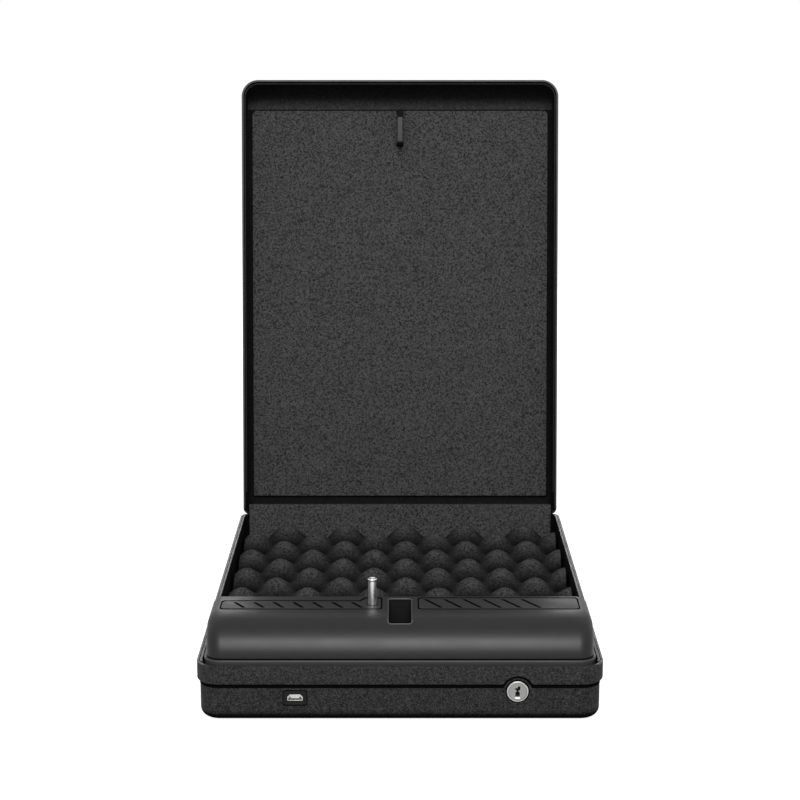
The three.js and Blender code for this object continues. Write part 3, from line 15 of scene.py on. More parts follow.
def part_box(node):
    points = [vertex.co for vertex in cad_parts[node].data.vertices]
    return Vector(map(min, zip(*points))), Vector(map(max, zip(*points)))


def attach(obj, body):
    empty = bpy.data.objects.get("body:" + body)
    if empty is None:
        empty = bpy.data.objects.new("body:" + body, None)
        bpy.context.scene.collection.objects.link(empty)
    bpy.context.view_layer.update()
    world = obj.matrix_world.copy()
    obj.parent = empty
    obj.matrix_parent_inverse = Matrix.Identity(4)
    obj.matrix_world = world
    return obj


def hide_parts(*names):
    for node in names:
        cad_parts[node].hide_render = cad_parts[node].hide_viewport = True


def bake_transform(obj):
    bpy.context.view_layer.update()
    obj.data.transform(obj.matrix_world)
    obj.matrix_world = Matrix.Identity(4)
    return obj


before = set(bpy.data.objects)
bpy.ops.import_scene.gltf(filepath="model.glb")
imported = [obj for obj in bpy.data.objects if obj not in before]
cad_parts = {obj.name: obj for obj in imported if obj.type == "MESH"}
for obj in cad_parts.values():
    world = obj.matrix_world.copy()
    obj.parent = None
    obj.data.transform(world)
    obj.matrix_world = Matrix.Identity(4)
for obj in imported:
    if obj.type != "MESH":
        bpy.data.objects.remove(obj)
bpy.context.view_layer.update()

bl_info = {
    "name": "Portable car safe",
    "version": (1, 0, 0),
    "blender": (4, 5, 0),
    "location": "View3D > Sidebar > Safe",
    "description": "Builds the finished surfaces of a portable car safe with its lid open",
    "category": "Object",
}

MM = 0.001

# Smallest radius of a turned profile, and allowances when faces are picked by where they are
ON_AXIS = 0.001
ON_FLOOR = 0.01
HAIR = 0.02
NEAR = 0.05

# Base
BASE_WIDTH = 216
BASE_LENGTH = 295
RIM_HEIGHT = 31
SHEET = 1.2
FIT = 0.3
PAN_EDGE_RADIUS = 5
FRONT_WALL_DROP = 3
FRONT_DROP_REACH = 9
COLLAR_SHEET = 1.3
COLLAR_HEIGHT = 10.2
COLLAR_CORNER_RADIUS = 12.6
REAR_CORNER_RADIUS = 6
COLLAR_ROLL = 0.8
COLLAR_TOP_ROUND = 0.45
NOTCH_RADIUS = 9
NOTCH_FILLET = 2.5
FOOT_HEIGHT = 1
# Black strips under the collar's edge and round the arch are painted shadow
SHADOW_STRIP_SHOWN = 2.2
ARCH_SHADOW_STRIP = 1.5
SHADOW_STRIP_PROUD = 0.22
SHADOW_STRIP_SUNK = 0.05

# Lid
LID_DEPTH = 26
LID_SIDE_PLAY = 0.5
LID_EDGE_RADIUS = 6
LID_FRONT_RUN = 17
LID_FRONT_RISE = 24
OPEN_ANGLE = 99.27
LID_FRAME_THICKNESS = 0.8
LID_FRAME_HEIGHT = 4.6
LID_FRAME_SETBACK = 2.3
LID_FRAME_REAR_STOP = 12
LID_FRAME_SLOPE = 0.35
HINGE_INBOARD = 3
HINGE_ABOVE_RIM = 3.8
HINGE_ACROSS = 0.315
HINGE_LENGTH = 36
KNUCKLE_RADIUS = 1.8

# Foam
FOAM_TOP = 27
FOAM_GRID = (310, 290)
FOAM_SEED = 7
FOAM_WAVES = 24
EGG_PEAK_X = 3.6
EGG_PEAK_INSET = 13.3
EGG_DRIFT = 0.004
EGG_SINK = 0.015
FLOOR_FOAM_SIDE_GAP = 2.2
FOAM_CHAMFER = 3.2
REAR_FOAM_SIDE_GAP = 3.5
REAR_FOAM_THICKNESS = 3.6
REAR_FOAM_TOP = 40.2
REAR_FOAM_BOTTOM = 2.2
REAR_FOAM_CORNER = 8
LID_FOAM_SIDE_GAP = 4.1
LID_FOAM_THICKNESS = 2.9
LID_FOAM_REAR_MARGIN = 10.4
LID_FOAM_FRONT_MARGIN = 18.2
LID_FOAM_CORNER = 3.5

# Lock housing
HOUSING_DEPTH = 54
HOUSING_TOP = 52
HOUSING_WALL = 2
HOUSING_SIDE_GAP = 2.2
HOUSING_CORNER = 8.5
HOUSING_SHOULDER = 5
HOUSING_SKIRT_BOTTOM = 26
LIP_INSET = 3.4
LIP_SIDE_GAP = 1
LIP_TOP = 33
LIP_CHAMFER = 0.5
HOUSING_LINE = 0.55
HOUSING_LEVELS = 26
FACE_INSET = 5.2
FLAT_TOP_INSET = 28
REAR_WALL_CORNER = 7
SLOT_WIDTH = 13.6
SLOT_FRONT_INSET = 15.8
SLOT_REAR_INSET = 50
SLOT_CORNER = 2.2
SLOT_RIM = 0.4
WELL_WALL = 1.8
WELL_BOTTOM = 38
TRIM_RECESS = 1
TRIM_THICKNESS = 0.7
TRIM_FRONT_INSET = 31.5
TRIM_REAR_INSET = 51.4
TRIM_NARROW_INSET = 46.3
TRIM_SIDE_MARGIN = 0.7
TRIM_INNER_X = 9.9
TRIM_STEP_X = 19
TRIM_CORNER = 2.6
TRIM_GAP = 0.1
TRIM_TOP_GAP = 0.5
TRIM_TOP_GAP_ALONG = 1.2
TRIM_SLOPE = 0.35
SLASHES_LEFT = 7
SLASHES_RIGHT = 6
SLASH_START_LEFT = 10
SLASH_START_RIGHT = 8.2
SLASH_PITCH = 10.65
SLASH_MARGIN = 2.9
SLASH_SLANT = 0.63
POST_SIDE_MARGIN = 6
POST_RADIUS = 3.4
POST_FRONT_INSET = 16
POST_REAR_MARGIN = 10
POST_FRONT_TOP = 46.3
SCREW_RADIUS = 1.25
SCREW_HEAD_RADIUS = 2.9
SCREW_HEAD_HEIGHT = 1.5
SCREW_LENGTH = 12

# Latch, key lock and pop-up pin
LATCH_INSET = 32
LATCH_THICKNESS = 2.5
LATCH_LOW = 42
LATCH_HIGH = 47
STRIKER_WIDTH = 3.6
STRIKER_BAR = 2.2
STRIKER_FRONT_INSET = 19.9
STRIKER_SPAN = 24
STRIKER_BOTTOM = 38.4
# The striker's end faces and the first stretch of its bottom carry painted shade
STRIKER_SHADED_END = 5.6
STRIKER_BEND = 3.4
LOCK_ACROSS = 0.2875
LOCK_Z = 16.7
LOCK_HOLE_RADIUS = 6.4
LOCK_NOSE_RADIUS = 5.7
LOCK_FACE_INSET = 0.9
LOCK_FLANGE_RADIUS = 8.5
LOCK_FLANGE = 1.5
LOCK_BODY_RADIUS = 6.2
LOCK_CORE_RADIUS = 4.75
LOCK_CORE_PLAY = 0.1
LOCK_STUB_RADIUS = 2.5
LOCK_STUB_LENGTH = 7.2
KEYWAY_DEPTH = 5
KEYWAY = (
    (-1.25, -2.5), (1.1, -2.5), (1.1, -0.4), (0.2, 0.35), (1.3, 1.1), (1.35, 3), (0.2, 3), (-0.2, 1.9),
    (-1.1, 2.2), (-1.5, 1.5), (-0.4, 0.4), (-1.25, -0.4))
# White tab in the keyway, a painted highlight
KEYWAY_GLINT = (-1.45, 1.25, -3.9, -3.1)
PLUNGER_SLOT_GAP = 5.7
PLUNGER_INSET = 39.8
PLUNGER_RADIUS = 2.5
PLUNGER_SHOWN = 14.9
PLUNGER_COLLAR_RADIUS = 3.7
PLUNGER_COLLAR = 2
PLUNGER_SPIGOT_RADIUS = 1.6
PLUNGER_SPIGOT = 7
GUIDE_TOP = 34
GUIDE_END = 2
SPRING_WIRE = 0.7
PLUNGER_COIL_RADIUS = 2.8
PLUNGER_COIL_TURNS = 8
LATCH_COIL_RADIUS = 2
LATCH_COIL_TURNS = 4
COIL_STEPS = 28
COIL_END_TURNS = 0.75
COIL_END_RISE = 2.4

# Charging port and keypad
USB_ACROSS = -0.257
USB_Z = 13
USB_BEZEL_WIDTH = 12.7
USB_BEZEL_HEIGHT = 8.1
USB_BEZEL_PROUD = 0.3
BEZEL_GAP = 0.35
USB_SHELL_WIDTH = 8.2
USB_SHELL_HEIGHT = 3.4
USB_SHELL_WALL = 0.4
USB_SHELL_DEPTH = 7
USB_TONGUE_DROP = 0.55
USB_DIMPLE_RADIUS = 0.42
USB_DIMPLE_X = 2.75
KEYPAD_INSET = 70
KEYPAD_WIDTH = 82
KEYPAD_LENGTH = 30
KEYPAD_RIM = 4
KEYPAD_PLATE = 1.2
KEYPAD_CORNER = 5
KEY_WIDTH = 9.4
KEY_LENGTH = 13.4
KEY_CORNER = 1.5
KEY_PROUD = 0.4
KEY_FLANGE = 0.7
KEY_FLANGE_HEIGHT = 0.6
KEY_X = (-28, -15.5, 15.5, 28)
KEY_DOT_PITCH = 2.4
KEY_DOT_RADIUS = 0.55
KEY_DOT_RISE = 0.12

# Stage, where lamps and camera are in metres
FLOOR_REACH = 6000
CAMERA_PLACE = (0, -1.0618, 0.3737)
CAMERA_TILT = 12.296
CAMERA_LENS = 82.8
LAMP_TARGET = (0, -0.12, 0.045)
LAMP_AWAY = 1.3
LAMP_WIDTH = 0.9
FLOOR_SEEN = 0.88
FLOOR_MIRRORED = 0.45
WORLD_LIGHT = 0.25

# Front lamps: name, degrees over the floor, depth and power
FRONT_LAMPS = (("lamp_low", 29, 0.35, 8.4), ("lamp_key", 46.5, 0.36, 14.7), ("lamp_high", 68, 0.3, 1))

# Side and back lamps: name, place, target, width, depth and power
SIDE_LAMPS = (
    ("lamp_left", (-1.4, 0.8, 0.7), (0, 0, 0.12), 0.7, 0.9, 1.6),
    ("lamp_right", (1.4, 0.8, 0.7), (0, 0, 0.12), 0.7, 0.9, 1.6),
    ("lamp_back", (0, 1.5, 0.7), (0, 0.15, 0.15), 0.5, 0.5, 6),
)

# Values that follow
front = -BASE_LENGTH / 2
pan_inset = COLLAR_SHEET + FIT
pan_half_x = BASE_WIDTH / 2 - pan_inset
pan_back = BASE_LENGTH / 2 - pan_inset
pan_front = -pan_back
pan_corner = COLLAR_CORNER_RADIUS - pan_inset
rear_corner = REAR_CORNER_RADIUS - pan_inset
wall_inside = pan_front + SHEET
floor_top = SHEET + FIT
lid_half_x = pan_half_x - LID_SIDE_PLAY
inner_half_x = pan_half_x - SHEET
housing_half_x = inner_half_x - HOUSING_SIDE_GAP
lip_half_x = inner_half_x - LIP_SIDE_GAP
floor_foam_half_x = inner_half_x - FLOOR_FOAM_SIDE_GAP
trim_outer_x = housing_half_x - HOUSING_SHOULDER - TRIM_SIDE_MARGIN
post_x = housing_half_x - POST_SIDE_MARGIN
hinge_x = BASE_WIDTH * HINGE_ACROSS
lock_x = BASE_WIDTH * LOCK_ACROSS
usb_x = BASE_WIDTH * USB_ACROSS
lid_rim = RIM_HEIGHT + FIT
lid_top = lid_rim + LID_DEPTH
lid_ceiling = lid_top - SHEET
axis_y = pan_back - HINGE_INBOARD
axis_z = lid_rim + HINGE_ABOVE_RIM
rear_foam_back = axis_y - HINGE_ABOVE_RIM - FIT
rear_foam_front = rear_foam_back - REAR_FOAM_THICKNESS
housing_back = front + HOUSING_DEPTH
latch_y = front + LATCH_INSET
latch_front = latch_y - LATCH_THICKNESS / 2
latch_back = latch_y + LATCH_THICKNESS / 2
slot_front = front + SLOT_FRONT_INSET
slot_back = front + SLOT_REAR_INSET
trim_front = front + TRIM_FRONT_INSET
trim_back = front + TRIM_REAR_INSET
striker_front = front + STRIKER_FRONT_INSET
striker_back = striker_front + STRIKER_SPAN
slot_half = SLOT_WIDTH / 2
plunger_x = -slot_half - PLUNGER_SLOT_GAP - PLUNGER_RADIUS
plunger_y = front + PLUNGER_INSET
plunger_top = HOUSING_TOP + PLUNGER_SHOWN
collar_top = GUIDE_TOP - GUIDE_END - FIT
lid_foam_top = lid_ceiling - FIT
lid_foam_face = lid_foam_top - LID_FOAM_THICKNESS
keypad_y = front + KEYPAD_INSET
keypad_half = KEYPAD_WIDTH / 2 - KEYPAD_RIM
keypad_deep = KEYPAD_LENGTH / 2 - KEYPAD_RIM + 2
plate_high = lid_top + FIT + KEYPAD_PLATE
lock_body_end = latch_front - FIT - 1.2
lock_at = (lock_x, 0, LOCK_Z)
bezel_face = pan_front - USB_BEZEL_PROUD
bezel_flange = wall_inside + FIT
bezel_half = (USB_BEZEL_WIDTH / 2, USB_BEZEL_HEIGHT / 2)
port_at = (usb_x, USB_Z)


def length_value(name, description, default, low, high):
    """A length in metres that a user would change."""
    return bpy.props.FloatProperty(
        name=name, description=description, default=default, min=low, max=high, unit="LENGTH")


def count_value(name, description, default, low, high):
    """A number of faces that a user would change."""
    return bpy.props.IntProperty(name=name, description=description, default=default, min=low, max=high)


def colour_value(name, description, *default):
    """A colour that a user would change."""
    return bpy.props.FloatVectorProperty(
        name=name, description=description, default=default, size=3, subtype="COLOR", min=0, max=1)


class SafeSizes(bpy.types.PropertyGroup):
    """Sizes that a user would change."""

    corner_steps: count_value("Corner steps", "Faces round each large corner", 18, 6, 48)
    edge_round: length_value(
        "Edge rounding", "Rounding along the edges of pressed and moulded pieces", 0.0003, 0, 0.001)
    egg_height: length_value("Egg height", "Height from the foam's pits to its peaks", 0.013, 0.002, 0.016)
    egg_pitch_x: length_value(
        "Egg pitch across", "Distance between peaks of one row of the foam", 0.0397, 0.02, 0.08)
    egg_pitch_y: length_value(
        "Egg pitch along", "Distance between every second row of the foam", 0.039, 0.02, 0.08)
    slash_width: length_value(
        "Groove width", "Width of the slanted grooves in the trim strips", 0.002, 0.0004, 0.003)
    slash_depth: length_value(
        "Groove depth", "Depth of the slanted grooves in the trim strips", 0.00055, 0.0001, 0.0006)
    spring_sides: count_value("Spring wire sides", "Faces round the wire of each spring", 12, 5, 24)


class SafeFinishes(bpy.types.PropertyGroup):
    """Colours and grain that a user would change."""

    powder_coat: colour_value("Powder coat", "Colour of the textured coat on the steel", 0.019, 0.019, 0.0195)
    # Rim coat is a lighter copy of the powder coat on the rims: a painted highlight
    rim_coat: colour_value("Rim coat", "Colour of the coat along the steel's cut edges", 0.043, 0.043, 0.0435)
    # Inner coat is a darker copy of the powder coat: painted shade inside the lid and the tray
    inner_coat: colour_value(
        "Inner coat", "Colour of the coat inside the lid and the tray", 0.0045, 0.0045, 0.0047)
    moulding: colour_value("Moulding", "Colour of the lock housing and its trim", 0.0075, 0.0075, 0.0079)
    foam_light: colour_value("Foam, light", "Colour of the foam's open faces", 0.06, 0.06, 0.061)
    foam_dark: colour_value("Foam, dark", "Colour inside the foam's cells", 0.012, 0.012, 0.0125)
    grain: length_value("Coat grain", "Size of one bump of the powder coat", 0.0012, 0.0002, 0.004)
    cell: length_value("Foam cell", "Size of one cell of the foam", 0.001, 0.0003, 0.004)


# Shapes

def ring(half_x, y_front, y_back, z, front_radius, back_radius):
    """Level rectangle with round corners: a corner is its centre plus radius times (cos a, sin a)
    while a runs through its quarter turn."""
    count = bpy.context.scene.safe_sizes.corner_steps + 1
    radius = np.repeat([back_radius, back_radius, front_radius, front_radius], count)
    side = np.repeat([1, -1, -1, 1], count)
    inward = np.repeat([-1, -1, 1, 1], count)
    edge = np.repeat([y_back, y_back, y_front, y_front], count)
    angle = (np.pi / 2) * (np.repeat(np.arange(4), count) + np.tile(np.linspace(0, 1, count), 4))
    x = side * (half_x - radius) + radius * np.cos(angle)
    y = edge + inward * radius + radius * np.sin(angle)
    return np.stack([x, y, np.full_like(x, z)], axis=1)


def grid_faces(rows, columns, wrap_rows=False, wrap_columns=False):
    """Quads over a grid of points counted row by row, joined end to end where it wraps."""
    row = np.arange(rows if wrap_rows else rows - 1)[:, None]
    column = np.arange(columns if wrap_columns else columns - 1)[None, :]
    low = row * columns
    high = ((row + 1) % rows) * columns
    after = (column + 1) % columns
    return np.stack([low + column, low + after, high + after, high + column], axis=-1).reshape(-1, 4)


def skin(rings, band=False):
    """Points and faces over rings of equal count, closed by flat ends or joined as a band."""
    rings = np.asarray(rings)
    rows, columns = rings.shape[:2]
    faces = grid_faces(rows, columns, wrap_rows=band, wrap_columns=True).tolist()
    if not band:
        faces.append(list(range(columns))[::-1])
        faces.append(list(range((rows - 1) * columns, rows * columns)))
    return rings.reshape(-1, 3), faces


def prism(outline, axis, low, high):
    """A flat outline carried along an axis: each end is the outline, moved to its place."""
    outline = np.asarray(outline, dtype=float)
    first, second, along = {"x": (1, 2, 0), "y": (0, 2, 1), "z": (0, 1, 2)}[axis]
    ends = np.zeros((2, len(outline), 3))
    ends[:, :, first] = outline[:, 0]
    ends[:, :, second] = outline[:, 1]
    ends[0, :, along] = low
    ends[1, :, along] = high
    return skin(ends)


def unit(vectors):
    """Each vector over its own length."""
    return vectors / np.linalg.norm(vectors, axis=1, keepdims=True)


def rounded(corners, steps=6):
    """Outline whose corners are bent: a quadratic curve from before each corner to after it, where
    the setback is radius over the tangent of half the corner's angle."""
    corners = np.asarray(corners, dtype=float)
    point = corners[:, :2]
    back = unit(np.roll(point, 1, axis=0) - point)
    ahead = unit(np.roll(point, -1, axis=0) - point)
    half = np.arccos(np.clip(np.sum(back * ahead, axis=1), -1, 1)) / 2
    setback = (corners[:, 2] / np.tan(half))[:, None]
    share = np.linspace(0, 1, steps + 1)[None, :, None]
    start = (point + back * setback)[:, None, :]
    end = (point + ahead * setback)[:, None, :]
    curve = (1 - share) ** 2 * start + 2 * share * (1 - share) * point[:, None, :] + share ** 2 * end
    curve = curve.reshape(-1, 2)
    keep = np.linalg.norm(curve - np.roll(curve, 1, axis=0), axis=1) > 1e-6
    return curve[keep]


def rounded_box(a0, a1, b0, b1, radius, steps=6):
    """Rectangle outline with bent corners."""
    return rounded([(a0, b0, radius), (a1, b0, radius), (a1, b1, radius), (a0, b1, radius)], steps)


def plate(at, half, radius, growth=0):
    """Rounded rectangle about a place, from its half width and half height, larger by the growth."""
    w, h = half[0] + growth, half[1] + growth
    return rounded_box(at[0] - w, at[0] + w, at[1] - h, at[1] + h, radius)


def sheet_outline(half, low, high, low_corner, high_corner, steps=8):
    """Rectangle across the middle, with one radius at its low corners and one at its high corners."""
    return rounded([(-half, low, low_corner), (half, low, low_corner), (half, high, high_corner),
                    (-half, high, high_corner)], steps)


def turned(profile, axis, place, sides):
    """Rings of a profile of (radius, height) turned about an axis: radius times (cos a, sin a) beside
    height. The profile runs from the axis, or from its own start, round to the same place."""
    profile = np.asarray(profile, dtype=float)
    angle = np.linspace(0, 2 * np.pi, sides, endpoint=False)
    a = profile[:, :1] * np.cos(angle)
    b = profile[:, :1] * np.sin(angle)
    height = np.repeat(profile[:, 1:], sides, axis=1)
    return np.stack((a, b, height) if axis == "z" else (b, height, a), axis=-1) + place


def block(x0, x1, y0, y1, z0, z1):
    """Plain block used as a cutter or a wall."""
    return prism([(x0, y0), (x1, y0), (x1, y1), (x0, y1)], "z", z0, z1)


def rod(axis, radius, low, high, place, sides=48):
    """Round bar used as a cutter or a post: its outline is the place plus radius times (cos a, sin a)."""
    angle = np.linspace(0, 2 * np.pi, sides, endpoint=False)
    return prism(place + radius * np.stack([np.cos(angle), np.sin(angle)], axis=1), axis, low, high)


def quarter_round(radius, steps=10):
    """Inset and rise of a quarter round: radius times (1 - sin a) and radius times (1 - cos a)."""
    angle = np.linspace(0, np.pi / 2, steps + 1)
    return np.stack([radius * (1 - np.sin(angle)), radius * (1 - np.cos(angle))], axis=1)


def tube(middle, side, up, radius, sides):
    """Round section carried along a path: the middle plus radius times (side cos a + up sin a)."""
    turn = np.linspace(0, 2 * np.pi, sides, endpoint=False)[None, :, None]
    return middle[:, None, :] + radius * (side[:, None, :] * np.cos(turn) + up[:, None, :] * np.sin(turn))


def coil(axis, mean_radius, low, high, turns, place):
    """Wound wire: a helix that rises little in its end turns, with a round section carried along it."""
    wire = SPRING_WIRE
    share = np.linspace(0, 1, turns * COIL_STEPS + 1)
    angle = 2 * np.pi * turns * share
    dead = COIL_END_TURNS / turns
    slow = COIL_END_RISE * wire / (high - low)
    rise = np.clip((share - dead) / (1 - 2 * dead), 0, 1) * (1 - slow) + share * slow
    out = np.stack([np.cos(angle), np.sin(angle), np.zeros_like(angle)], axis=1)
    middle = out * mean_radius
    middle[:, 2] = low + wire / 2 + (high - low - wire) * rise
    up = np.cross(unit(np.gradient(middle, axis=0)), out)
    rings = tube(middle, out, up, wire / 2, bpy.context.scene.safe_sizes.spring_sides)
    return skin((rings[..., [2, 0, 1]] if axis == "x" else rings) + place)


# Making, cutting and finishing pieces

Reach = namedtuple("Reach", "x0 y0 z0 x1 y1 z1")


def new_piece(name, shape):
    """An object whose mesh holds the points, in metres, with faces that point outwards."""
    points, faces = shape
    mesh = bpy.data.meshes.new(name)
    mesh.from_pydata((np.asarray(points) * MM).tolist(), [], faces)
    piece = bpy.data.objects.new(name, mesh)
    bpy.context.scene.collection.objects.link(piece)
    if volume_of(mesh) < 0:
        mesh.flip_normals()
    return piece


def values_of(items, key, width=3, kind=float):
    """One value of every vertex, corner or face, as rows of the given width."""
    values = np.empty(len(items) * width, dtype=kind)
    items.foreach_get(key, values)
    return values.reshape(-1, width) if width > 1 else values


def volume_of(mesh):
    """Signed volume: a sixth of the sum of each triangle's first corner dotted with the cross of the
    others."""
    mesh.calc_loop_triangles()
    a, b, c = values_of(mesh.vertices, "co")[values_of(mesh.loop_triangles, "vertices", 3, np.int32).T]
    return float(np.einsum("ij,ij->i", a, np.cross(b, c)).sum()) / 6


def settle(piece):
    """The piece's modifiers become its mesh."""
    depsgraph = bpy.context.evaluated_depsgraph_get()
    settled = bpy.data.meshes.new_from_object(piece.evaluated_get(depsgraph))
    old = piece.data
    piece.modifiers.clear()
    piece.data = settled
    bpy.data.meshes.remove(old)
    if not len(settled.vertices):
        raise RuntimeError(f"{piece.name} came out empty")


def combine(piece, shapes, operation):
    """Adds solids to the piece or takes them out of it, by exact Booleans."""
    tools = [new_piece(f"{piece.name}_tool_{i}", shape) for i, shape in enumerate(shapes)]
    for tool in tools:
        step = piece.modifiers.new("combine", "BOOLEAN")
        step.operation = operation
        step.solver = "EXACT"
        step.object = tool
    settle(piece)
    for tool in tools:
        mesh = tool.data
        bpy.data.objects.remove(tool)
        bpy.data.meshes.remove(mesh)


def cut(piece, *shapes):
    """Takes solids out of the piece."""
    combine(piece, shapes, "DIFFERENCE")


def join(piece, *shapes):
    """Adds solids to the piece."""
    combine(piece, shapes, "UNION")


def smooth(piece, angle=32):
    """Smooth faces, with edges sharper than the angle kept sharp."""
    mesh = piece.data
    mesh.polygons.foreach_set("use_smooth", np.ones(len(mesh.polygons), dtype=bool))
    mesh.set_sharp_from_angle(angle=math.radians(angle))
    mesh.update()


def round_edges(piece, width, angle, segments=2):
    """A small rounding along edges sharper than the angle."""
    bevel = piece.modifiers.new("edge rounding", "BEVEL")
    bevel.width = width
    bevel.segments = segments
    bevel.limit_method = "ANGLE"
    bevel.angle_limit = math.radians(angle)
    return bevel


def soften(piece, width=None, angle=32, segments=2):
    """Smooth faces and rounded edges, where the flat faces' shading stays flat."""
    smooth(piece, angle)
    bevel = round_edges(piece, bpy.context.scene.safe_sizes.edge_round if width is None else width * MM,
                        angle, segments)
    bevel.miter_outer = "MITER_ARC"
    bevel.harden_normals = True


def open_lid(piece):
    """The lid's pieces turn back about the hinge line, in their meshes."""
    hinge = Matrix.Translation((0, axis_y * MM, axis_z * MM))
    turn = Matrix.Rotation(-math.radians(OPEN_ANGLE), 4, "X")
    piece.data.transform(hinge @ turn @ hinge.inverted())
    piece.data.update()


def face_centres(piece):
    """Middle of every face, in millimetres."""
    return values_of(piece.data.polygons, "center") / MM


def face_reach(piece):
    """Lowest and highest x, y and z of every face, in millimetres."""
    mesh = piece.data
    corners = values_of(mesh.vertices, "co")[values_of(mesh.loops, "vertex_index", 1, np.int32)] / MM
    start = values_of(mesh.polygons, "loop_start", 1, np.int32)
    return Reach(*np.minimum.reduceat(corners, start).T, *np.maximum.reduceat(corners, start).T)


def inward_faces(piece, middle):
    """Faces that look back at a point inside: the normal dotted with the way from it is below zero."""
    normals = values_of(piece.data.polygons, "normal")
    return np.einsum("ij,ij->i", normals, face_centres(piece) - middle) < 0


def wear(piece, slot, *choices):
    """The piece's material, and one more for each chosen set of faces."""
    mesh = piece.data
    mesh.materials.append(finish(slot))
    index = np.zeros(len(mesh.polygons), dtype=np.int32)
    for number, (name, chosen) in enumerate(choices, start=1):
        mesh.materials.append(finish(name))
        index[chosen] = number
    mesh.polygons.foreach_set("material_index", index)
    mesh.update()


def place_piece(piece, body, slot, *nodes):
    """Gives a piece its body and finish, and hides the nodes it stands for. A piece given no body is not
    attached to one."""
    if not piece.data.materials:
        piece.data.materials.append(finish(slot))
    if body:
        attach(piece, body)
    if nodes:
        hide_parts(*nodes)


def dress(slot, *names, width=0.15):
    """Kept nodes: their corners are joined, their edges slightly rounded, and they get their finish."""
    for name in names:
        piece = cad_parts[name]
        piece.modifiers.new("joined corners", "WELD").merge_threshold = 0.00001
        if width:
            round_edges(piece, width * MM, 35)
        piece.modifiers.new("weighted normals", "WEIGHTED_NORMAL").keep_sharp = True
        for place in piece.material_slots:
            place.material = finish(slot)


# Materials

def feed(tree, made, inputs):
    """Gives each named input of a node its value or its link."""
    for key, value in inputs.items():
        if isinstance(value, bpy.types.NodeSocket):
            tree.links.new(value, made.inputs[key])
        else:
            made.inputs[key].default_value = value


def node(tree, kind, inputs=None, **settings):
    """A node with its settings and inputs."""
    made = tree.nodes.new(kind)
    for key, value in settings.items():
        setattr(made, key, value)
    feed(tree, made, inputs or {})
    return made


def maths(tree, operation, a, b, clamp=False):
    """One operation on two values or links."""
    return node(tree, "ShaderNodeMath", {0: a, 1: b}, operation=operation, use_clamp=clamp).outputs[0]


def spread(tree, value, low, high, to_low=0.0, to_high=1.0):
    """A value stretched from one range to another and held there."""
    return node(tree, "ShaderNodeMapRange", {
        "Value": value, "From Min": low, "From Max": high, "To Min": to_low, "To Max": to_high}).outputs[0]


def blend_colour(tree, share, first, second):
    """From the first colour to the second as the share goes from 0 to 1."""
    return node(tree, "ShaderNodeMix", {0: share, 6: first, 7: second}, data_type="RGBA").outputs[2]


def noise(tree, vector, scale, detail, roughness=0.5, distortion=0.0):
    """Soft noise over a vector."""
    return node(tree, "ShaderNodeTexNoise", {
        "Vector": vector, "Scale": scale, "Detail": detail, "Roughness": roughness,
        "Distortion": distortion}).outputs["Fac"]


def cell_distance(tree, given, feature):
    """Distance to the nearest of many scattered points."""
    return node(tree, "ShaderNodeTexVoronoi", {"Vector": given["Vector"], "Scale": given["Scale"]},
                feature=feature).outputs["Distance"]


def effect(name, inputs):
    """An empty node group for a shared effect, with its coordinates and its other inputs."""
    tree = bpy.data.node_groups.new(name, "ShaderNodeTree")
    tree.interface.new_socket("Vector", in_out="INPUT", socket_type="NodeSocketVector")
    for label, value in inputs.items():
        tree.interface.new_socket(label, in_out="INPUT", socket_type="NodeSocketFloat").default_value = value
    return tree, node(tree, "NodeGroupInput").outputs


def give(tree, **results):
    """The outputs of a shared effect."""
    for label in results:
        tree.interface.new_socket(label, in_out="OUTPUT", socket_type="NodeSocketFloat")
    node(tree, "NodeGroupOutput", results)
    return tree


def coat_grain(name):
    """Leathery bumps of a textured coat: distorted rounded cells with finer noise over them."""
    tree, given = effect(name, {"Scale": 1100.0, "Wander": 1.6})
    coarse = noise(tree, given["Vector"], given["Scale"], 2.0, 0.5, given["Wander"])
    cells = cell_distance(tree, given, "SMOOTH_F1")
    slow = noise(tree, given["Vector"], 60.0, 2.0)
    height = maths(tree, "ADD", maths(tree, "MULTIPLY", coarse, 0.6), maths(tree, "MULTIPLY", cells, 0.4))
    return give(tree, Height=height, Fleck=spread(tree, coarse, 0.4, 0.62),
                Drift=spread(tree, slow, 0.3, 0.7))


def foam_cells(name):
    """Open cells of foam: small dark pits between light struts, with slow patches of tone."""
    tree, given = effect(name, {"Scale": 900.0})
    cells = cell_distance(tree, given, "F1")
    fine = noise(tree, given["Vector"], maths(tree, "MULTIPLY", given["Scale"], 0.8), 2.0, 0.6, 0.8)
    slow = noise(tree, given["Vector"], 90.0, 3.0)
    pit = maths(tree, "ADD", maths(tree, "MULTIPLY", spread(tree, cells, 0.15, 0.6, 1.0, 0.0), 0.35),
                spread(tree, fine, 0.45, 0.62, 0.0, 0.8), clamp=True)
    height = maths(tree, "SUBTRACT", fine, maths(tree, "MULTIPLY", pit, 0.6))
    return give(tree, Height=height, Pit=pit, Drift=spread(tree, slow, 0.3, 0.7))


def metal_grain(name):
    """Fine drawn or turned marks and faint smears on bare metal."""
    tree, given = effect(name, {"Scale": 1500.0})
    marks = noise(tree, given["Vector"], given["Scale"], 4.0, 0.6)
    smear = noise(tree, given["Vector"], 160.0, 3.0)
    return give(tree, Height=marks, Smear=spread(tree, smear, 0.3, 0.7))


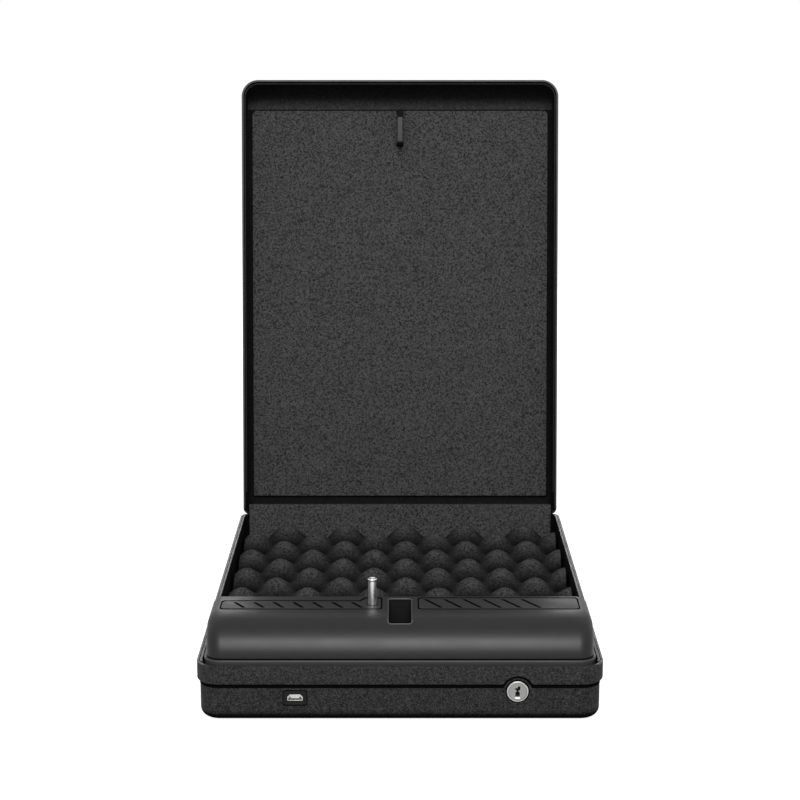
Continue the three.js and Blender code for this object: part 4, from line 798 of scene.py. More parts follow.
def new_material(name, make=None, scale=None):
    """A material with its shader and the object's own coordinates, or the outputs of a shared effect
    over them, which is made where it isn't there yet."""
    material = bpy.data.materials.new(name)
    material.use_nodes = True
    tree = material.node_tree
    tree.nodes.clear()
    shader = node(tree, "ShaderNodeBsdfPrincipled")
    node(tree, "ShaderNodeOutputMaterial", {"Surface": shader.outputs[0]})
    given = node(tree, "ShaderNodeTexCoord").outputs["Object"]
    if make:
        label = make.__name__.replace("_", " ")
        shared = bpy.data.node_groups.get(label) or make(label)
        given = node(tree, "ShaderNodeGroup", {"Vector": given, "Scale": scale}, node_tree=shared).outputs
    return material, tree, shader, given


def colour4(colour, factor=1.0):
    """A colour times a factor, held at white."""
    return tuple(min(c * factor, 1.0) for c in colour[:3]) + (1.0,)


def shade(tree, shader, height, depth, inputs):
    """Bumps and other inputs into a shader."""
    bump = node(tree, "ShaderNodeBump", {"Strength": 1.0, "Distance": depth, "Height": height})
    feed(tree, shader, {"Normal": bump.outputs[0], **inputs})


def object_height(tree):
    """Height in the object's own coordinates."""
    coordinates = next(n for n in tree.nodes if n.type == "TEX_COORD").outputs["Object"]
    return node(tree, "ShaderNodeSeparateXYZ", {"Vector": coordinates}).outputs["Z"]


def coated(name, colour, grain, depth, rough, specular, contrast, fade=None):
    """Coated or moulded surface: grain as bumps, flecks of tone and roughness. Where a fade is given as two
    heights and two factors, the tone goes from the first factor to the second between them, as painted shade
    or painted light by height."""
    material, tree, shader, group = new_material(name, coat_grain, 1 / grain)
    tone = blend_colour(tree, group["Fleck"], colour4(colour, 1 - contrast), colour4(colour, 1 + contrast))
    if fade:
        factor = spread(tree, object_height(tree), fade[0] * MM, fade[1] * MM, fade[2], fade[3])
        tone = node(tree, "ShaderNodeVectorMath", {0: tone, "Scale": factor}, operation="SCALE").outputs[0]
    shade(tree, shader, group["Height"], depth, {
        "Base Color": tone, "Roughness": spread(tree, group["Drift"], 0, 1, *rough),
        "Specular IOR Level": specular})
    return material


def foamed(name, light, dark, cell, heights=None):
    """Open-cell foam, darker from the second height down to the first where two are given: painted shade in
    the pits."""
    material, tree, shader, group = new_material(name, foam_cells, 1 / cell)
    patch = blend_colour(tree, group["Drift"], colour4(light, 0.94), colour4(light, 1.06))
    tone = blend_colour(tree, group["Pit"], patch, colour4(dark))
    if heights:
        share = spread(tree, object_height(tree), heights[0] * MM, heights[1] * MM)
        tone = blend_colour(tree, maths(tree, "POWER", share, 1.3), colour4(dark, 0.15), tone)
    shade(tree, shader, group["Height"], 0.0006, {
        "Base Color": tone, "Roughness": 1.0, "Specular IOR Level": 0.05})
    return material


def metal(name, colour, rough=(0.28, 0.42), scale=1500.0, depth=0.00002):
    """Bare metal, smoother where it is smeared."""
    material, tree, shader, group = new_material(name, metal_grain, scale)
    tone = blend_colour(tree, group["Smear"], colour4(colour, 0.85), colour4(colour, 1.05))
    shade(tree, shader, group["Height"], depth, {
        "Base Color": tone, "Metallic": 1.0,
        "Roughness": spread(tree, group["Smear"], 0, 1, rough[1], rough[0])})
    return material


def slope_fade():
    """Heights and factors of the open lid's front slope, whose painted shade grows lighter down to the foam's
    edge.
    """
    turn = math.radians(OPEN_ANGLE)
    away = axis_y - pan_front - LID_FOAM_FRONT_MARGIN
    foam_edge = axis_z + away * math.sin(turn) + (lid_ceiling - axis_z) * math.cos(turn)
    return (foam_edge, foam_edge + 9, 6.5, 1)


def finish(slot):
    """The material of a slot or of a part of a piece, made once. A coat's values are its colour, grain
    size, bump depth, roughness from and to, specular level, contrast and fade. A foam's are its light
    and dark colours, cell size and shaded heights. A metal's are its colour, roughness from and to,
    scale of its marks and bump depth."""
    name = f"finish_{slot}"
    look = bpy.context.scene.safe_finishes
    coat, inner, grain = look.powder_coat, look.inner_coat, look.grain
    foam = (look.foam_dark, look.cell)
    make, *values = {
        "painted_steel": (coated, coat, grain, 0.0011, (0.58, 0.62), 0.12, 0.75),
        # Pan and pan round: the tone fades darker towards the bottom, painted shade
        "painted_pan": (coated, coat, grain, 0.0011, (0.6, 0.7), 0.1, 0.75, (2.2, 6.6, 0.012, 1)),
        "pan_round": (coated, coat, grain, 0.0004, (0.85, 0.95), 0.02, 0.75, (2.5, 6, 0.012, 1)),
        "painted_steel_edge": (coated, coat, grain * 0.7, 0.0001, (0.4, 0.5), 0.2, 0.3),
        # Rim: a lighter copy of the powder coat, painted highlight along the edges
        "rim": (coated, look.rim_coat, grain, 0.0001, (0.4, 0.5), 0.4, 0.35),
        # Inner coat, lid slope and frame edge: darker copies of the powder coat, painted shade; the lid slope
        # grows lighter towards the foam's edge
        "inner_coat": (coated, inner, grain, 0.0004, (0.7, 0.8), 0.06, 0.5),
        "lid_slope": (coated, inner, grain, 0.0004, (0.7, 0.8), 0.06, 0.5, slope_fade()),
        "frame_edge": (coated, (0.008, 0.008, 0.0082), grain * 0.7, 0.0001, (0.5, 0.6), 0.1, 0.3),
        # Housing: the tone is lighter on the flat top, painted light
        "satin_plastic": (coated, look.moulding, 0.0005, 0.00001, (0.38, 0.42), 0.24, 0.12,
                          (HOUSING_TOP - 1.1, HOUSING_TOP - 0.2, 1, 2.6)),
        "trim_plastic": (coated, [2.55 * c for c in look.moulding], 0.0004, 0.00003, (0.4, 0.46), 0.25, 0.2),
        # Lip: a lighter copy of the moulding, painted light on the housing's lip
        "lip": (coated, (0.027, 0.027, 0.0273), 0.0005, 0.00001, (0.36, 0.42), 0.3, 0.1),
        # Slot rim: a lighter copy of the moulding, painted highlight round the slot
        "slot_rim": (coated, (0.05, 0.05, 0.0505), 0.0005, 0.00001, (0.36, 0.42), 0.3, 0.1),
        # Groove: near black, painted shade in recesses, grooves, hole bores and under the collar
        "groove": (coated, (0.0015, 0.0015, 0.0016), 0.0005, 0.00003, (0.85, 0.95), 0.02, 0.2),
        "black_plastic": (coated, (0.006, 0.006, 0.0062), 0.0005, 0.00003, (0.45, 0.55), 0.15, 0.2),
        "keys": (coated, (0.03, 0.03, 0.0305), 0.0006, 0.00002, (0.5, 0.6), 0.2, 0.15),
        # Keyway glint: near white, painted highlight
        "key_stop": (coated, (0.85, 0.85, 0.84), 0.001, 0.000005, (0.35, 0.4), 0.5, 0.02),
        "rubber": (coated, (0.008, 0.008, 0.008), 0.0006, 0.00006, (0.8, 0.95), 0.2, 0.25),
        "circuit_board": (coated, (0.014, 0.076, 0.033), 0.002, 0.00003, (0.35, 0.5), 0.5, 0.2),
        "cell_sleeve": (coated, (0.026, 0.109, 0.292), 0.003, 0.00003, (0.25, 0.35), 0.5, 0.08),
        "dark_glass": (coated, (0.004, 0.004, 0.005), 0.004, 0.000005, (0.08, 0.14), 0.5, 0.1),
        "foam": (foamed, look.foam_light, *foam),
        # Egg foam: darker down into the pits, painted shade
        "foam_eggs": (foamed, look.foam_light, *foam, (16.5, 25.5)),
        # Rear foam: a lighter copy of the foam, painted light
        "foam_rear": (foamed, [1.1 * c for c in look.foam_light], *foam),
        "lock_steel": (metal, (0.3, 0.3, 0.295), (0.34, 0.42), 2200.0, 0.000008),
        "bright_steel": (metal, (0.86, 0.86, 0.85), (0.27, 0.32), 900.0, 0.0000005),
        "port_steel": (metal, (0.56, 0.56, 0.55), (0.3, 0.38), 900.0, 0.000001),
        "bare_steel": (metal, (0.4, 0.4, 0.39)),
        "brass": (metal, (0.46, 0.32, 0.1), (0.28, 0.4)),
    }[slot]
    return bpy.data.materials.get(name) or make(name, *values)


# Pieces

def pan_ring(inset, z):
    """Ring of the pan at a height, set in from its outside."""
    return ring(pan_half_x - inset, pan_front + inset, pan_back - inset, z, max(pan_corner - inset, 1),
                max(rear_corner - inset, 1))


def post_places():
    """Places of the housing's four posts and their screws."""
    rows = (front + POST_FRONT_INSET, housing_back - POST_REAR_MARGIN)
    return [(x, y) for y in rows for x in (-post_x, post_x)]


def notch_outline(bottom):
    """Arch over the key lock: a round centred on the lock, with a fillet at each foot."""
    rise = bottom - LOCK_Z + NOTCH_FILLET
    across = math.sqrt((NOTCH_RADIUS + NOTCH_FILLET) ** 2 - rise ** 2)
    tilt = math.atan2(rise, across)
    a = np.linspace(-np.pi / 2, -tilt, 9)
    left = [lock_x - across, bottom + NOTCH_FILLET] + NOTCH_FILLET * np.stack([np.cos(a), np.sin(a)], 1)
    b = np.linspace(np.pi - tilt, tilt, 41)[1:-1]
    arch = [lock_x, LOCK_Z] + NOTCH_RADIUS * np.stack([np.cos(b), np.sin(b)], 1)
    right = left[::-1] * [-1, 1] + [2 * lock_x, 0]
    low = bottom - COLLAR_ROLL - 0.4
    return np.concatenate([[(lock_x - across, low)], left, arch, right, [(lock_x + across, low)]])


class SafePart:
    """What every operator shares."""

    bl_options = {"REGISTER", "UNDO"}

    def execute(self, context):
        self.make(context.scene.safe_sizes)
        return {"FINISHED"}


class SAFE_OT_base_pan(SafePart, bpy.types.Operator):
    """Pressed steel tray with a round bottom edge, a lower front wall and its holes"""
    bl_idname = "safe.base_pan"
    bl_label = "Base pan"

    def make(self, sizes):
        outside = [pan_ring(inset, rise) for inset, rise in quarter_round(PAN_EDGE_RADIUS)]
        inside = [pan_ring(SHEET + inset, SHEET + rise)
                  for inset, rise in quarter_round(PAN_EDGE_RADIUS - SHEET)]
        pan = new_piece("base_tray", skin(
            outside + [pan_ring(0, RIM_HEIGHT), pan_ring(SHEET, RIM_HEIGHT)] + inside[::-1]))
        bore = SCREW_RADIUS + FIT
        head = SCREW_HEAD_RADIUS + FIT
        screws = [skin(turned([
            (ON_AXIS, -FOOT_HEIGHT), (head, -FOOT_HEIGHT), (head, FIT / 3),
            (bore, SCREW_HEAD_HEIGHT + FIT / 3), (bore, 6), (ON_AXIS, 6)], "z", (x, y, 0), 32))
            for x, y in post_places()]
        cut(pan,
            block(-pan_half_x - 1, pan_half_x + 1, front, front + FRONT_DROP_REACH,
                  RIM_HEIGHT - FRONT_WALL_DROP, RIM_HEIGHT + 1),
            rod("y", LOCK_HOLE_RADIUS, front, wall_inside + 2, (lock_x, LOCK_Z), 64),
            prism(plate(port_at, bezel_half, 1.4, FIT), "y", front, wall_inside + 2), *screws)
        at = face_reach(pan)
        x, y, z = face_centres(pan).T
        in_hole = ((np.hypot(x - lock_x, z - LOCK_Z) < LOCK_HOLE_RADIUS + 0.1)
                   | (np.abs(x - usb_x) < bezel_half[0] + FIT + 0.1))
        in_wall = (y > pan_front + HAIR) & (y < wall_inside - HAIR) & (at.z1 < RIM_HEIGHT - 4)
        in_round = (at.z1 < PAN_EDGE_RADIUS - 0.2) & (at.z0 > ON_FLOOR)
        inner = inward_faces(pan, (0, 0, RIM_HEIGHT + 5))
        # Inner faces take the inner coat (painted shade), the top the rim coat (painted highlight), the hole
        # bores the groove finish (painted shade) and the bottom round a darker finish (painted shade)
        wear(pan, "painted_pan", ("inner_coat", inner), ("rim", at.z0 > RIM_HEIGHT - NEAR),
             ("groove", in_wall & in_hole), ("pan_round", in_round & ~inner))
        soften(pan)
        place_piece(pan, "base", "painted_steel", "base_pan")


class SAFE_OT_base_collar(SafePart, bpy.types.Operator):
    """Steel band round the pan's rim, with a rolled lower edge and an arch over the key lock"""
    bl_idname = "safe.base_collar"
    bl_label = "Base collar"

    def make(self, sizes):
        bottom = RIM_HEIGHT - COLLAR_HEIGHT
        levels = [(inset, bottom + rise) for inset, rise in quarter_round(COLLAR_ROLL, 5)]
        levels += [(inset, RIM_HEIGHT - rise) for inset, rise in quarter_round(COLLAR_TOP_ROUND, 3)[::-1]]
        levels += [(COLLAR_SHEET, RIM_HEIGHT), (COLLAR_SHEET, bottom)]
        collar = new_piece("base_band", skin([ring(
            BASE_WIDTH / 2 - inset, front + inset, -front - inset, z, max(COLLAR_CORNER_RADIUS - inset, 1),
            max(REAR_CORNER_RADIUS - inset, 1)) for inset, z in levels], band=True))
        cut(collar, prism(notch_outline(bottom), "y", front - 1, pan_front))
        at = face_reach(collar)
        # The collar's top takes the rim finish, a painted highlight
        wear(collar, "painted_steel", ("rim", (at.z0 > RIM_HEIGHT - 0.5) & (at.y0 > front + 3)))
        soften(collar, 0.2, 50)
        place_piece(collar, "base", "painted_steel", "base_collar")
        self.seam(bottom)

    def seam(self, bottom):
        """Black strips on the pan, along the collar's lower edge and round the arch: painted shadow under the
        collar.
        """
        low, high = bottom - SHADOW_STRIP_SHOWN, bottom + 1
        bead = new_piece("collar_shadow_strip", skin([
            pan_ring(-SHADOW_STRIP_PROUD, low), pan_ring(-SHADOW_STRIP_PROUD, high), pan_ring(SHADOW_STRIP_SUNK, high),
            pan_ring(SHADOW_STRIP_SUNK, low)], band=True))
        centre = (lock_x, LOCK_Z)
        radius = NOTCH_RADIUS + 0.3
        cut(bead, rod("y", radius, front, pan_front + 1, centre, 96))
        arch = new_piece("arch_shadow_strip", rod(
            "y", radius + 0.1, pan_front - SHADOW_STRIP_PROUD, pan_front + SHADOW_STRIP_SUNK, centre, 96))
        cut(arch, rod("y", NOTCH_RADIUS - ARCH_SHADOW_STRIP, front, pan_front + 1, centre, 96),
            block(lock_x - 20, lock_x + 20, front, pan_front + 1, 0, low))
        # The strips carry the groove finish, painted shadow
        for piece in (bead, arch):
            wear(piece, "groove")
            smooth(piece)
            place_piece(piece, "base", "rubber")


class SAFE_OT_floor_foam(SafePart, bpy.types.Operator):
    """Egg-crate foam sheet in the tray"""
    bl_idname = "safe.floor_foam"
    bl_label = "Egg-crate foam"

    def make(self, sizes):
        """Height is the middle plus half the egg height times cos x times cos y, with a slow seeded
        drift added to both angles and taken off the height."""
        rows, columns = FOAM_GRID
        limit = floor_foam_half_x
        x = limit * np.linspace(-1, 1, columns)[None, :] * np.ones((rows, 1))
        y = np.linspace(housing_back + FIT, rear_foam_front - FIT, rows)[:, None] * np.ones((1, columns))
        height = sizes.egg_height / MM
        turn_x, turn_y = 2 * np.pi * MM / sizes.egg_pitch_x, 2 * np.pi * MM / sizes.egg_pitch_y
        rng = np.random.default_rng(FOAM_SEED)
        drift = np.zeros_like(x)
        for _ in range(FOAM_WAVES):
            wave = rng.uniform(0.04, 0.35, 2) * rng.choice([-1, 1], 2)
            drift += np.sin(x * wave[0] + y * wave[1] + rng.uniform(0, 6.28))
        egg = (np.cos((x - EGG_PEAK_X) * turn_x + EGG_DRIFT * drift)
               * np.cos((y + front + EGG_PEAK_INSET) * turn_y + EGG_DRIFT * drift))
        z = FOAM_TOP - height / 2 + (height / 2) * egg - EGG_SINK * np.abs(drift)
        top = np.stack([x, y, z], axis=-1).reshape(-1, 3)
        index = np.arange(rows * columns).reshape(rows, columns)
        edge = np.concatenate([index[0, :-1], index[:-1, -1], index[-1, :0:-1], index[:0:-1, 0]])
        shoulder, under = top[edge], top[edge]
        shoulder[:, 2] = floor_top + FOAM_CHAMFER
        under[:, 0] = np.clip(under[:, 0], FOAM_CHAMFER - limit, limit - FOAM_CHAMFER) + under[:, 0] * 1e-4
        under[:, 2] = floor_top
        first = rows * columns + np.arange(len(edge))
        after = np.roll(first, -1)
        second = first + len(edge)
        skirt = np.stack([np.roll(edge, -1), edge, first, after], axis=1)
        lower = np.stack([after, first, second, np.roll(second, -1)], axis=1)
        faces = grid_faces(rows, columns).tolist() + skirt.tolist() + lower.tolist() + [second[::-1].tolist()]
        foam = new_piece("egg_foam", (np.concatenate([top, shoulder, under]), faces))
        # Darker down into the pits: painted shade
        wear(foam, "foam_eggs")
        smooth(foam, 40)
        place_piece(foam, "base", "foam", "floor_foam")


class SAFE_OT_rear_foam(SafePart, bpy.types.Operator):
    """Flat foam strip that stands against the rear wall"""
    bl_idname = "safe.rear_foam"
    bl_label = "Rear foam"

    def make(self, sizes):
        outline = sheet_outline(
            inner_half_x - REAR_FOAM_SIDE_GAP, REAR_FOAM_BOTTOM, REAR_FOAM_TOP, REAR_FOAM_CORNER, 1)
        foam = new_piece("rear_strip", prism(outline, "y", rear_foam_front, rear_foam_back))
        # A lighter copy of the foam: painted light
        wear(foam, "foam_rear")
        soften(foam, 0.6, 40, 3)
        place_piece(foam, "base", "foam", "rear_foam")


def housing_levels(wall):
    """Rings up the housing: the front follows a quarter ellipse and the sides end in a round shoulder."""
    run = FLAT_TOP_INSET - FACE_INSET - wall
    rise = HOUSING_TOP - LIP_TOP
    corner = max(HOUSING_CORNER - wall, 2)
    rings = []
    line = math.asin(HOUSING_LINE / rise)
    for angle in np.concatenate([[0, line], np.linspace(0, np.pi / 2, HOUSING_LEVELS + 1)[1:]]):
        climb = rise * math.sin(angle)
        over = max(climb - (rise - HOUSING_SHOULDER), 0)
        pull_in = HOUSING_SHOULDER - math.sqrt(max(HOUSING_SHOULDER ** 2 - over ** 2, 0))
        inset = FACE_INSET + wall + run * (1 - math.cos(angle))
        rings.append(ring(
            housing_half_x - wall - pull_in, front + inset, housing_back - wall - 0.15 * pull_in,
            LIP_TOP - wall + climb, corner, 1.5))
    return rings


def lip_ring(inset, z):
    """Ring of the housing's lip and skirt at a height."""
    return ring(lip_half_x - inset, front + LIP_INSET + inset, housing_back - min(inset, HOUSING_WALL), z,
                max(HOUSING_CORNER + 1 - inset, 2), 1.5)


def slot_outline(growth):
    """Outline of the striker's slot, larger by the growth."""
    return rounded_box(-slot_half - growth, slot_half + growth, slot_front - growth, slot_back + growth,
                       SLOT_CORNER + growth / 2)


def trim_outline(side, growth, deep=None):
    """Outline of a trim strip: a plain rounded rectangle, or with a narrower outer end on the left."""
    deep = growth if deep is None else deep
    f, r, n = trim_front - deep, trim_back + deep, front + TRIM_NARROW_INSET + deep
    inner = TRIM_INNER_X - growth
    outer = trim_outer_x + growth
    c = TRIM_CORNER
    if side > 0:
        return rounded_box(inner, outer, f, r, c)
    step = TRIM_STEP_X + growth
    return rounded([(-outer, f, c), (-inner, f, c), (-inner, r, c), (-step, r, 1.2), (-step - 3, n, 1.2),
                    (-outer, n, c)])


class SAFE_OT_lock_housing(SafePart, bpy.types.Operator):
    """Moulded cover over the lock parts, with slot well, posts, trim recesses and latch window"""
    bl_idname = "safe.lock_housing"
    bl_label = "Lock housing"

    def make(self, sizes):
        wall = HOUSING_WALL
        housing = new_piece("lock_cover", skin(housing_levels(wall)[::-1] + [
            lip_ring(wall, LIP_TOP - wall - 0.4), lip_ring(wall, HOUSING_SKIRT_BOTTOM),
            lip_ring(0, HOUSING_SKIRT_BOTTOM), lip_ring(0, LIP_TOP - LIP_CHAMFER),
            lip_ring(LIP_CHAMFER, LIP_TOP)] + housing_levels(0)))
        rear = sheet_outline(
            housing_half_x + 0.6, floor_top, HOUSING_SKIRT_BOTTOM + 4, REAR_WALL_CORNER, 0, 10)
        well = slot_outline(WELL_WALL)
        well[:, 1] = np.maximum(well[:, 1], slot_front + WELL_WALL + 4)
        posts, holes = [], []
        for x, y in post_places():
            top = POST_FRONT_TOP if y < front + SLOT_REAR_INSET / 2 else HOUSING_TOP - wall / 2
            posts.append(rod("z", POST_RADIUS, floor_top, top, (x, y), 24))
            holes.append(rod("z", SCREW_RADIUS + FIT, 0, floor_top + SCREW_LENGTH + 1, (x, y), 20))
        join(housing, prism(rear, "y", housing_back - wall, housing_back),
             prism(well, "z", WELL_BOTTOM, HOUSING_TOP - wall / 2), *posts)
        floor = HOUSING_TOP - TRIM_RECESS
        cut(housing, *holes, prism(slot_outline(0), "z", WELL_BOTTOM - 1, HOUSING_TOP + 1),
            block(slot_half - 1, slot_half + WELL_WALL + 2, latch_front - FIT, latch_back + FIT,
                  LATCH_LOW - FIT, LATCH_HIGH + FIT),
            rod("z", PLUNGER_RADIUS + FIT, HOUSING_TOP - 4, HOUSING_TOP + 1, (plunger_x, plunger_y)),
            *[prism(trim_outline(side, FIT), "z", floor, HOUSING_TOP + 1) for side in (-1, 1)])
        at = face_reach(housing)
        far = np.maximum(-at.x0, at.x1)
        recess = ((at.z0 > floor - NEAR) & (at.z0 < HOUSING_TOP - NEAR) & (at.y0 > trim_front - FIT - NEAR)
                  & (at.y1 < trim_back + FIT + NEAR) & (far < trim_outer_x + FIT + NEAR))
        inside = ((far < slot_half + HAIR) & (at.y0 > slot_front - HAIR) & (at.y1 < slot_back + HAIR)
                  & (at.z1 > WELL_BOTTOM + 1))
        lip = ((at.z0 > HOUSING_SKIRT_BOTTOM - 0.1) & (at.z0 < LIP_TOP - 0.1) & (at.z1 < LIP_TOP + NEAR)
               & (at.y0 < front + 8))
        line = (at.z0 > LIP_TOP - NEAR) & (at.z1 < LIP_TOP + HOUSING_LINE + NEAR) & (at.z1 > LIP_TOP + 0.3)
        # Painted shade in the trim recesses and the dark line over the lip, painted light on the lip, darker
        # black plastic in the slot well as painted shade; the moulding is lighter on the flat top, painted
        # light
        wear(housing, "satin_plastic", ("groove", recess | line), ("lip", lip), ("black_plastic", inside))
        soften(housing, 0.35, 40, 3)
        place_piece(housing, "base", "satin_plastic", "lock_housing")
        self.slot_rim()

    def slot_rim(self):
        """Half-sunk bead round the slot: a round section carried along the slot's outline, at the height
        of the housing's surface, which is a quarter ellipse at the front."""
        inner = SLOT_RIM * 0.7
        path = rounded_box(-slot_half + inner, slot_half - inner, slot_front + inner, slot_back - inner,
                           SLOT_CORNER, 8)
        share = np.clip((front + FLAT_TOP_INSET - path[:, 1]) / (FLAT_TOP_INSET - FACE_INSET), 0, 1)
        height = LIP_TOP + (HOUSING_TOP - LIP_TOP) * np.sqrt(1 - share ** 2)
        middle = np.column_stack([path, height - SLOT_RIM * 0.6])
        along = unit(np.roll(middle, -1, axis=0) - np.roll(middle, 1, axis=0))
        side = unit(np.cross(along, (0.0, 0.0, 1.0)))
        bead = new_piece("slot_rim", skin(tube(middle, side, np.cross(side, along), SLOT_RIM, 16), band=True))
        # The bead's lighter finish is a painted highlight
        wear(bead, "slot_rim")
        smooth(bead, 60)
        place_piece(bead, "base", "satin_plastic")


class SAFE_OT_trim_strips(SafePart, bpy.types.Operator):
    """Flush strips with slanted grooves, in the housing's recesses"""
    bl_idname = "safe.trim_strips"
    bl_label = "Trim strips"

    def make(self, sizes):
        low = HOUSING_TOP - TRIM_RECESS + FIT
        top = low + TRIM_THICKNESS
        groove = np.array([-1, 1, 1, -1]) * sizes.slash_width / MM / 2
        for side, name, rear, first, count in (
                (-1, "left", TRIM_NARROW_INSET, -trim_outer_x + SLASH_START_LEFT, SLASHES_LEFT),
                (1, "right", TRIM_REAR_INSET, TRIM_INNER_X + SLASH_START_RIGHT, SLASHES_RIGHT)):
            wide = trim_outline(side, -TRIM_GAP)
            narrow = trim_outline(side, -TRIM_TOP_GAP, -TRIM_TOP_GAP_ALONG)
            rings = [np.column_stack([outline, np.full(len(outline), z)])
                     for outline, z in ((wide, low), (wide, top - TRIM_SLOPE), (narrow, top))]
            strip = new_piece(f"trim_{name}", skin(rings))
            lean = (rear - TRIM_FRONT_INSET - 2 * SLASH_MARGIN) * SLASH_SLANT / 2
            y0, y1 = trim_front + SLASH_MARGIN, front + rear - SLASH_MARGIN
            slash = np.column_stack([[lean, lean, -lean, -lean] + groove, [y0, y0, y1, y1]])
            cutters = [prism(slash + [x, 0], "z", top - sizes.slash_depth / MM, top + 1)
                       for x in first + SLASH_PITCH * np.arange(count)]
            if side < 0:
                cutters.append(rod("z", PLUNGER_RADIUS + FIT, low - 1, top + 1, (plunger_x, plunger_y)))
            cut(strip, *cutters)
            # Groove faces carry painted shade
            wear(strip, "trim_plastic", ("groove", face_reach(strip).z0 < top - NEAR))
            soften(strip, 0.1, 40)
            place_piece(strip, "base", "trim_plastic", f"trim_strip_{name}")


def lid_ring(side_inset, front_inset, z):
    """Ring of the lid at a height, set in from its sides and its front."""
    return ring(lid_half_x - side_inset, pan_front + front_inset, pan_back - side_inset, z,
                max(pan_corner - side_inset, 1), max(rear_corner - side_inset, 1))


def lid_levels(wall):
    """Rings up the lid: the front face is a quarter ellipse, the other edges a quarter round."""
    run = LID_FRONT_RUN - wall
    rise = LID_FRONT_RISE - wall
    radius = LID_EDGE_RADIUS - wall
    levels = []
    for angle in np.radians(np.concatenate([np.linspace(0, 45, 10), np.linspace(48, 90, 24)])):
        height = LID_DEPTH - LID_FRONT_RISE + rise * math.sin(angle)
        over = max(height - (LID_DEPTH - wall - radius), 0)
        pull_in = radius - math.sqrt(max(radius ** 2 - over ** 2, 0))
        levels.append(lid_ring(wall + pull_in, wall + run * (1 - math.cos(angle)), lid_rim + height))
    return levels


class SAFE_OT_lid_shell(SafePart, bpy.types.Operator):
    """Pressed lid whose front face curves back to the flat top"""
    bl_idname = "safe.lid_shell"
    bl_label = "Lid shell"

    def make(self, sizes):
        rim = [lid_ring(SHEET, SHEET, lid_rim), lid_ring(0, 0, lid_rim)]
        shell = new_piece("lid_cover", skin(lid_levels(SHEET)[::-1] + rim + lid_levels(0)))
        reach = HINGE_ABOVE_RIM
        a = np.linspace(-np.pi / 2, 0, 25)
        corner = np.concatenate([
            np.stack([np.cos(a), np.sin(a)], axis=1), [(3, 0), (3, -2), (0, -2)]]) * reach + [axis_y, axis_z]
        half = HINGE_LENGTH / 2 + FIT
        notch_top = axis_z + KNUCKLE_RADIUS + 2 * FIT
        notches = [block(x - half, x + half, axis_y, pan_back + 1, lid_rim - 1, notch_top)
                   for x in (-hinge_x, hinge_x)]
        opening = plate((0, keypad_y), (keypad_half, keypad_deep), KEYPAD_CORNER - 2, FIT)
        cut(shell, prism(corner, "x", -BASE_WIDTH / 2, BASE_WIDTH / 2), *notches,
            prism(opening, "z", lid_ceiling - 1, lid_top + 1))
        at = face_reach(shell)
        inner = inward_faces(shell, (0, 0, lid_rim - 5))
        across = np.abs(values_of(shell.data.polygons, "normal")[:, 0])
        # Inner faces take the inner coat, painted shade, and the front slope's painted shade grows lighter
        # down to the foam
        wear(shell, "painted_steel", ("inner_coat", inner),
             ("lid_slope", inner & (at.y1 < pan_front + LID_FRONT_RUN + 0.5) & (across < 0.75)),
             ("painted_steel_edge", (at.z1 < lid_rim + NEAR) & (at.y0 < axis_y - 6)))
        soften(shell, 0.2, 40)
        open_lid(shell)
        place_piece(shell, "lid", "painted_steel", "lid_shell")


class SAFE_OT_lid_frame(SafePart, bpy.types.Operator):
    """Thin steel frame inside the lid's rim"""
    bl_idname = "safe.lid_frame"
    bl_label = "Lid inner frame"

    def make(self, sizes):
        low = lid_rim + LID_FRAME_SETBACK
        high = low + LID_FRAME_HEIGHT
        outer = SHEET + FIT
        inner = outer + LID_FRAME_THICKNESS
        band = new_piece("lid_frame", skin([lid_ring(inset, inset + LID_FRAME_SLOPE, z) for inset, z in (
            (outer, low), (outer, high), (inner, high), (inner, low))], band=True))
        stop = axis_y - LID_FRAME_REAR_STOP
        cut(band, block(-BASE_WIDTH, BASE_WIDTH, stop, BASE_LENGTH, low - 1, high + 1))
        # The frame's body takes the inner coat and its lower edge a less dark copy of the coat: both painted
        # shade
        wear(band, "inner_coat", ("frame_edge", face_reach(band).z1 < low + NEAR))
        soften(band, 0.15, 40)
        open_lid(band)
        place_piece(band, "lid", "painted_steel_edge", "lid_inner_frame")


class SAFE_OT_lid_foam(SafePart, bpy.types.Operator):
    """Flat foam sheet glued into the lid"""
    bl_idname = "safe.lid_foam"
    bl_label = "Lid foam"

    def make(self, sizes):
        outline = sheet_outline(
            lid_half_x - SHEET - LID_FOAM_SIDE_GAP, pan_front + LID_FOAM_FRONT_MARGIN,
            pan_back - LID_FOAM_REAR_MARGIN, LID_FOAM_CORNER, 1)
        foam = new_piece("lid_sheet", prism(outline, "z", lid_foam_face, lid_foam_top))
        leg = STRIKER_WIDTH / 2 + FIT
        w, d = keypad_half + FIT, keypad_deep + FIT
        board_low = lid_top - KEY_FLANGE_HEIGHT - 0.5 - FIT - 1
        holes = ((leg, striker_front - 4 - FIT, striker_front + STRIKER_BAR + FIT, lid_foam_face - 1),
                 (leg, striker_back - STRIKER_BAR - FIT, striker_back + FIT, lid_foam_face - 1),
                 (w, keypad_y - d, keypad_y + d, board_low - FIT))
        cut(foam, *[block(-x, x, y0, y1, low, lid_foam_top + 1) for x, y0, y1, low in holes])
        soften(foam, 0.5, 40, 3)
        open_lid(foam)
        place_piece(foam, "lid", "foam", "lid_foam")


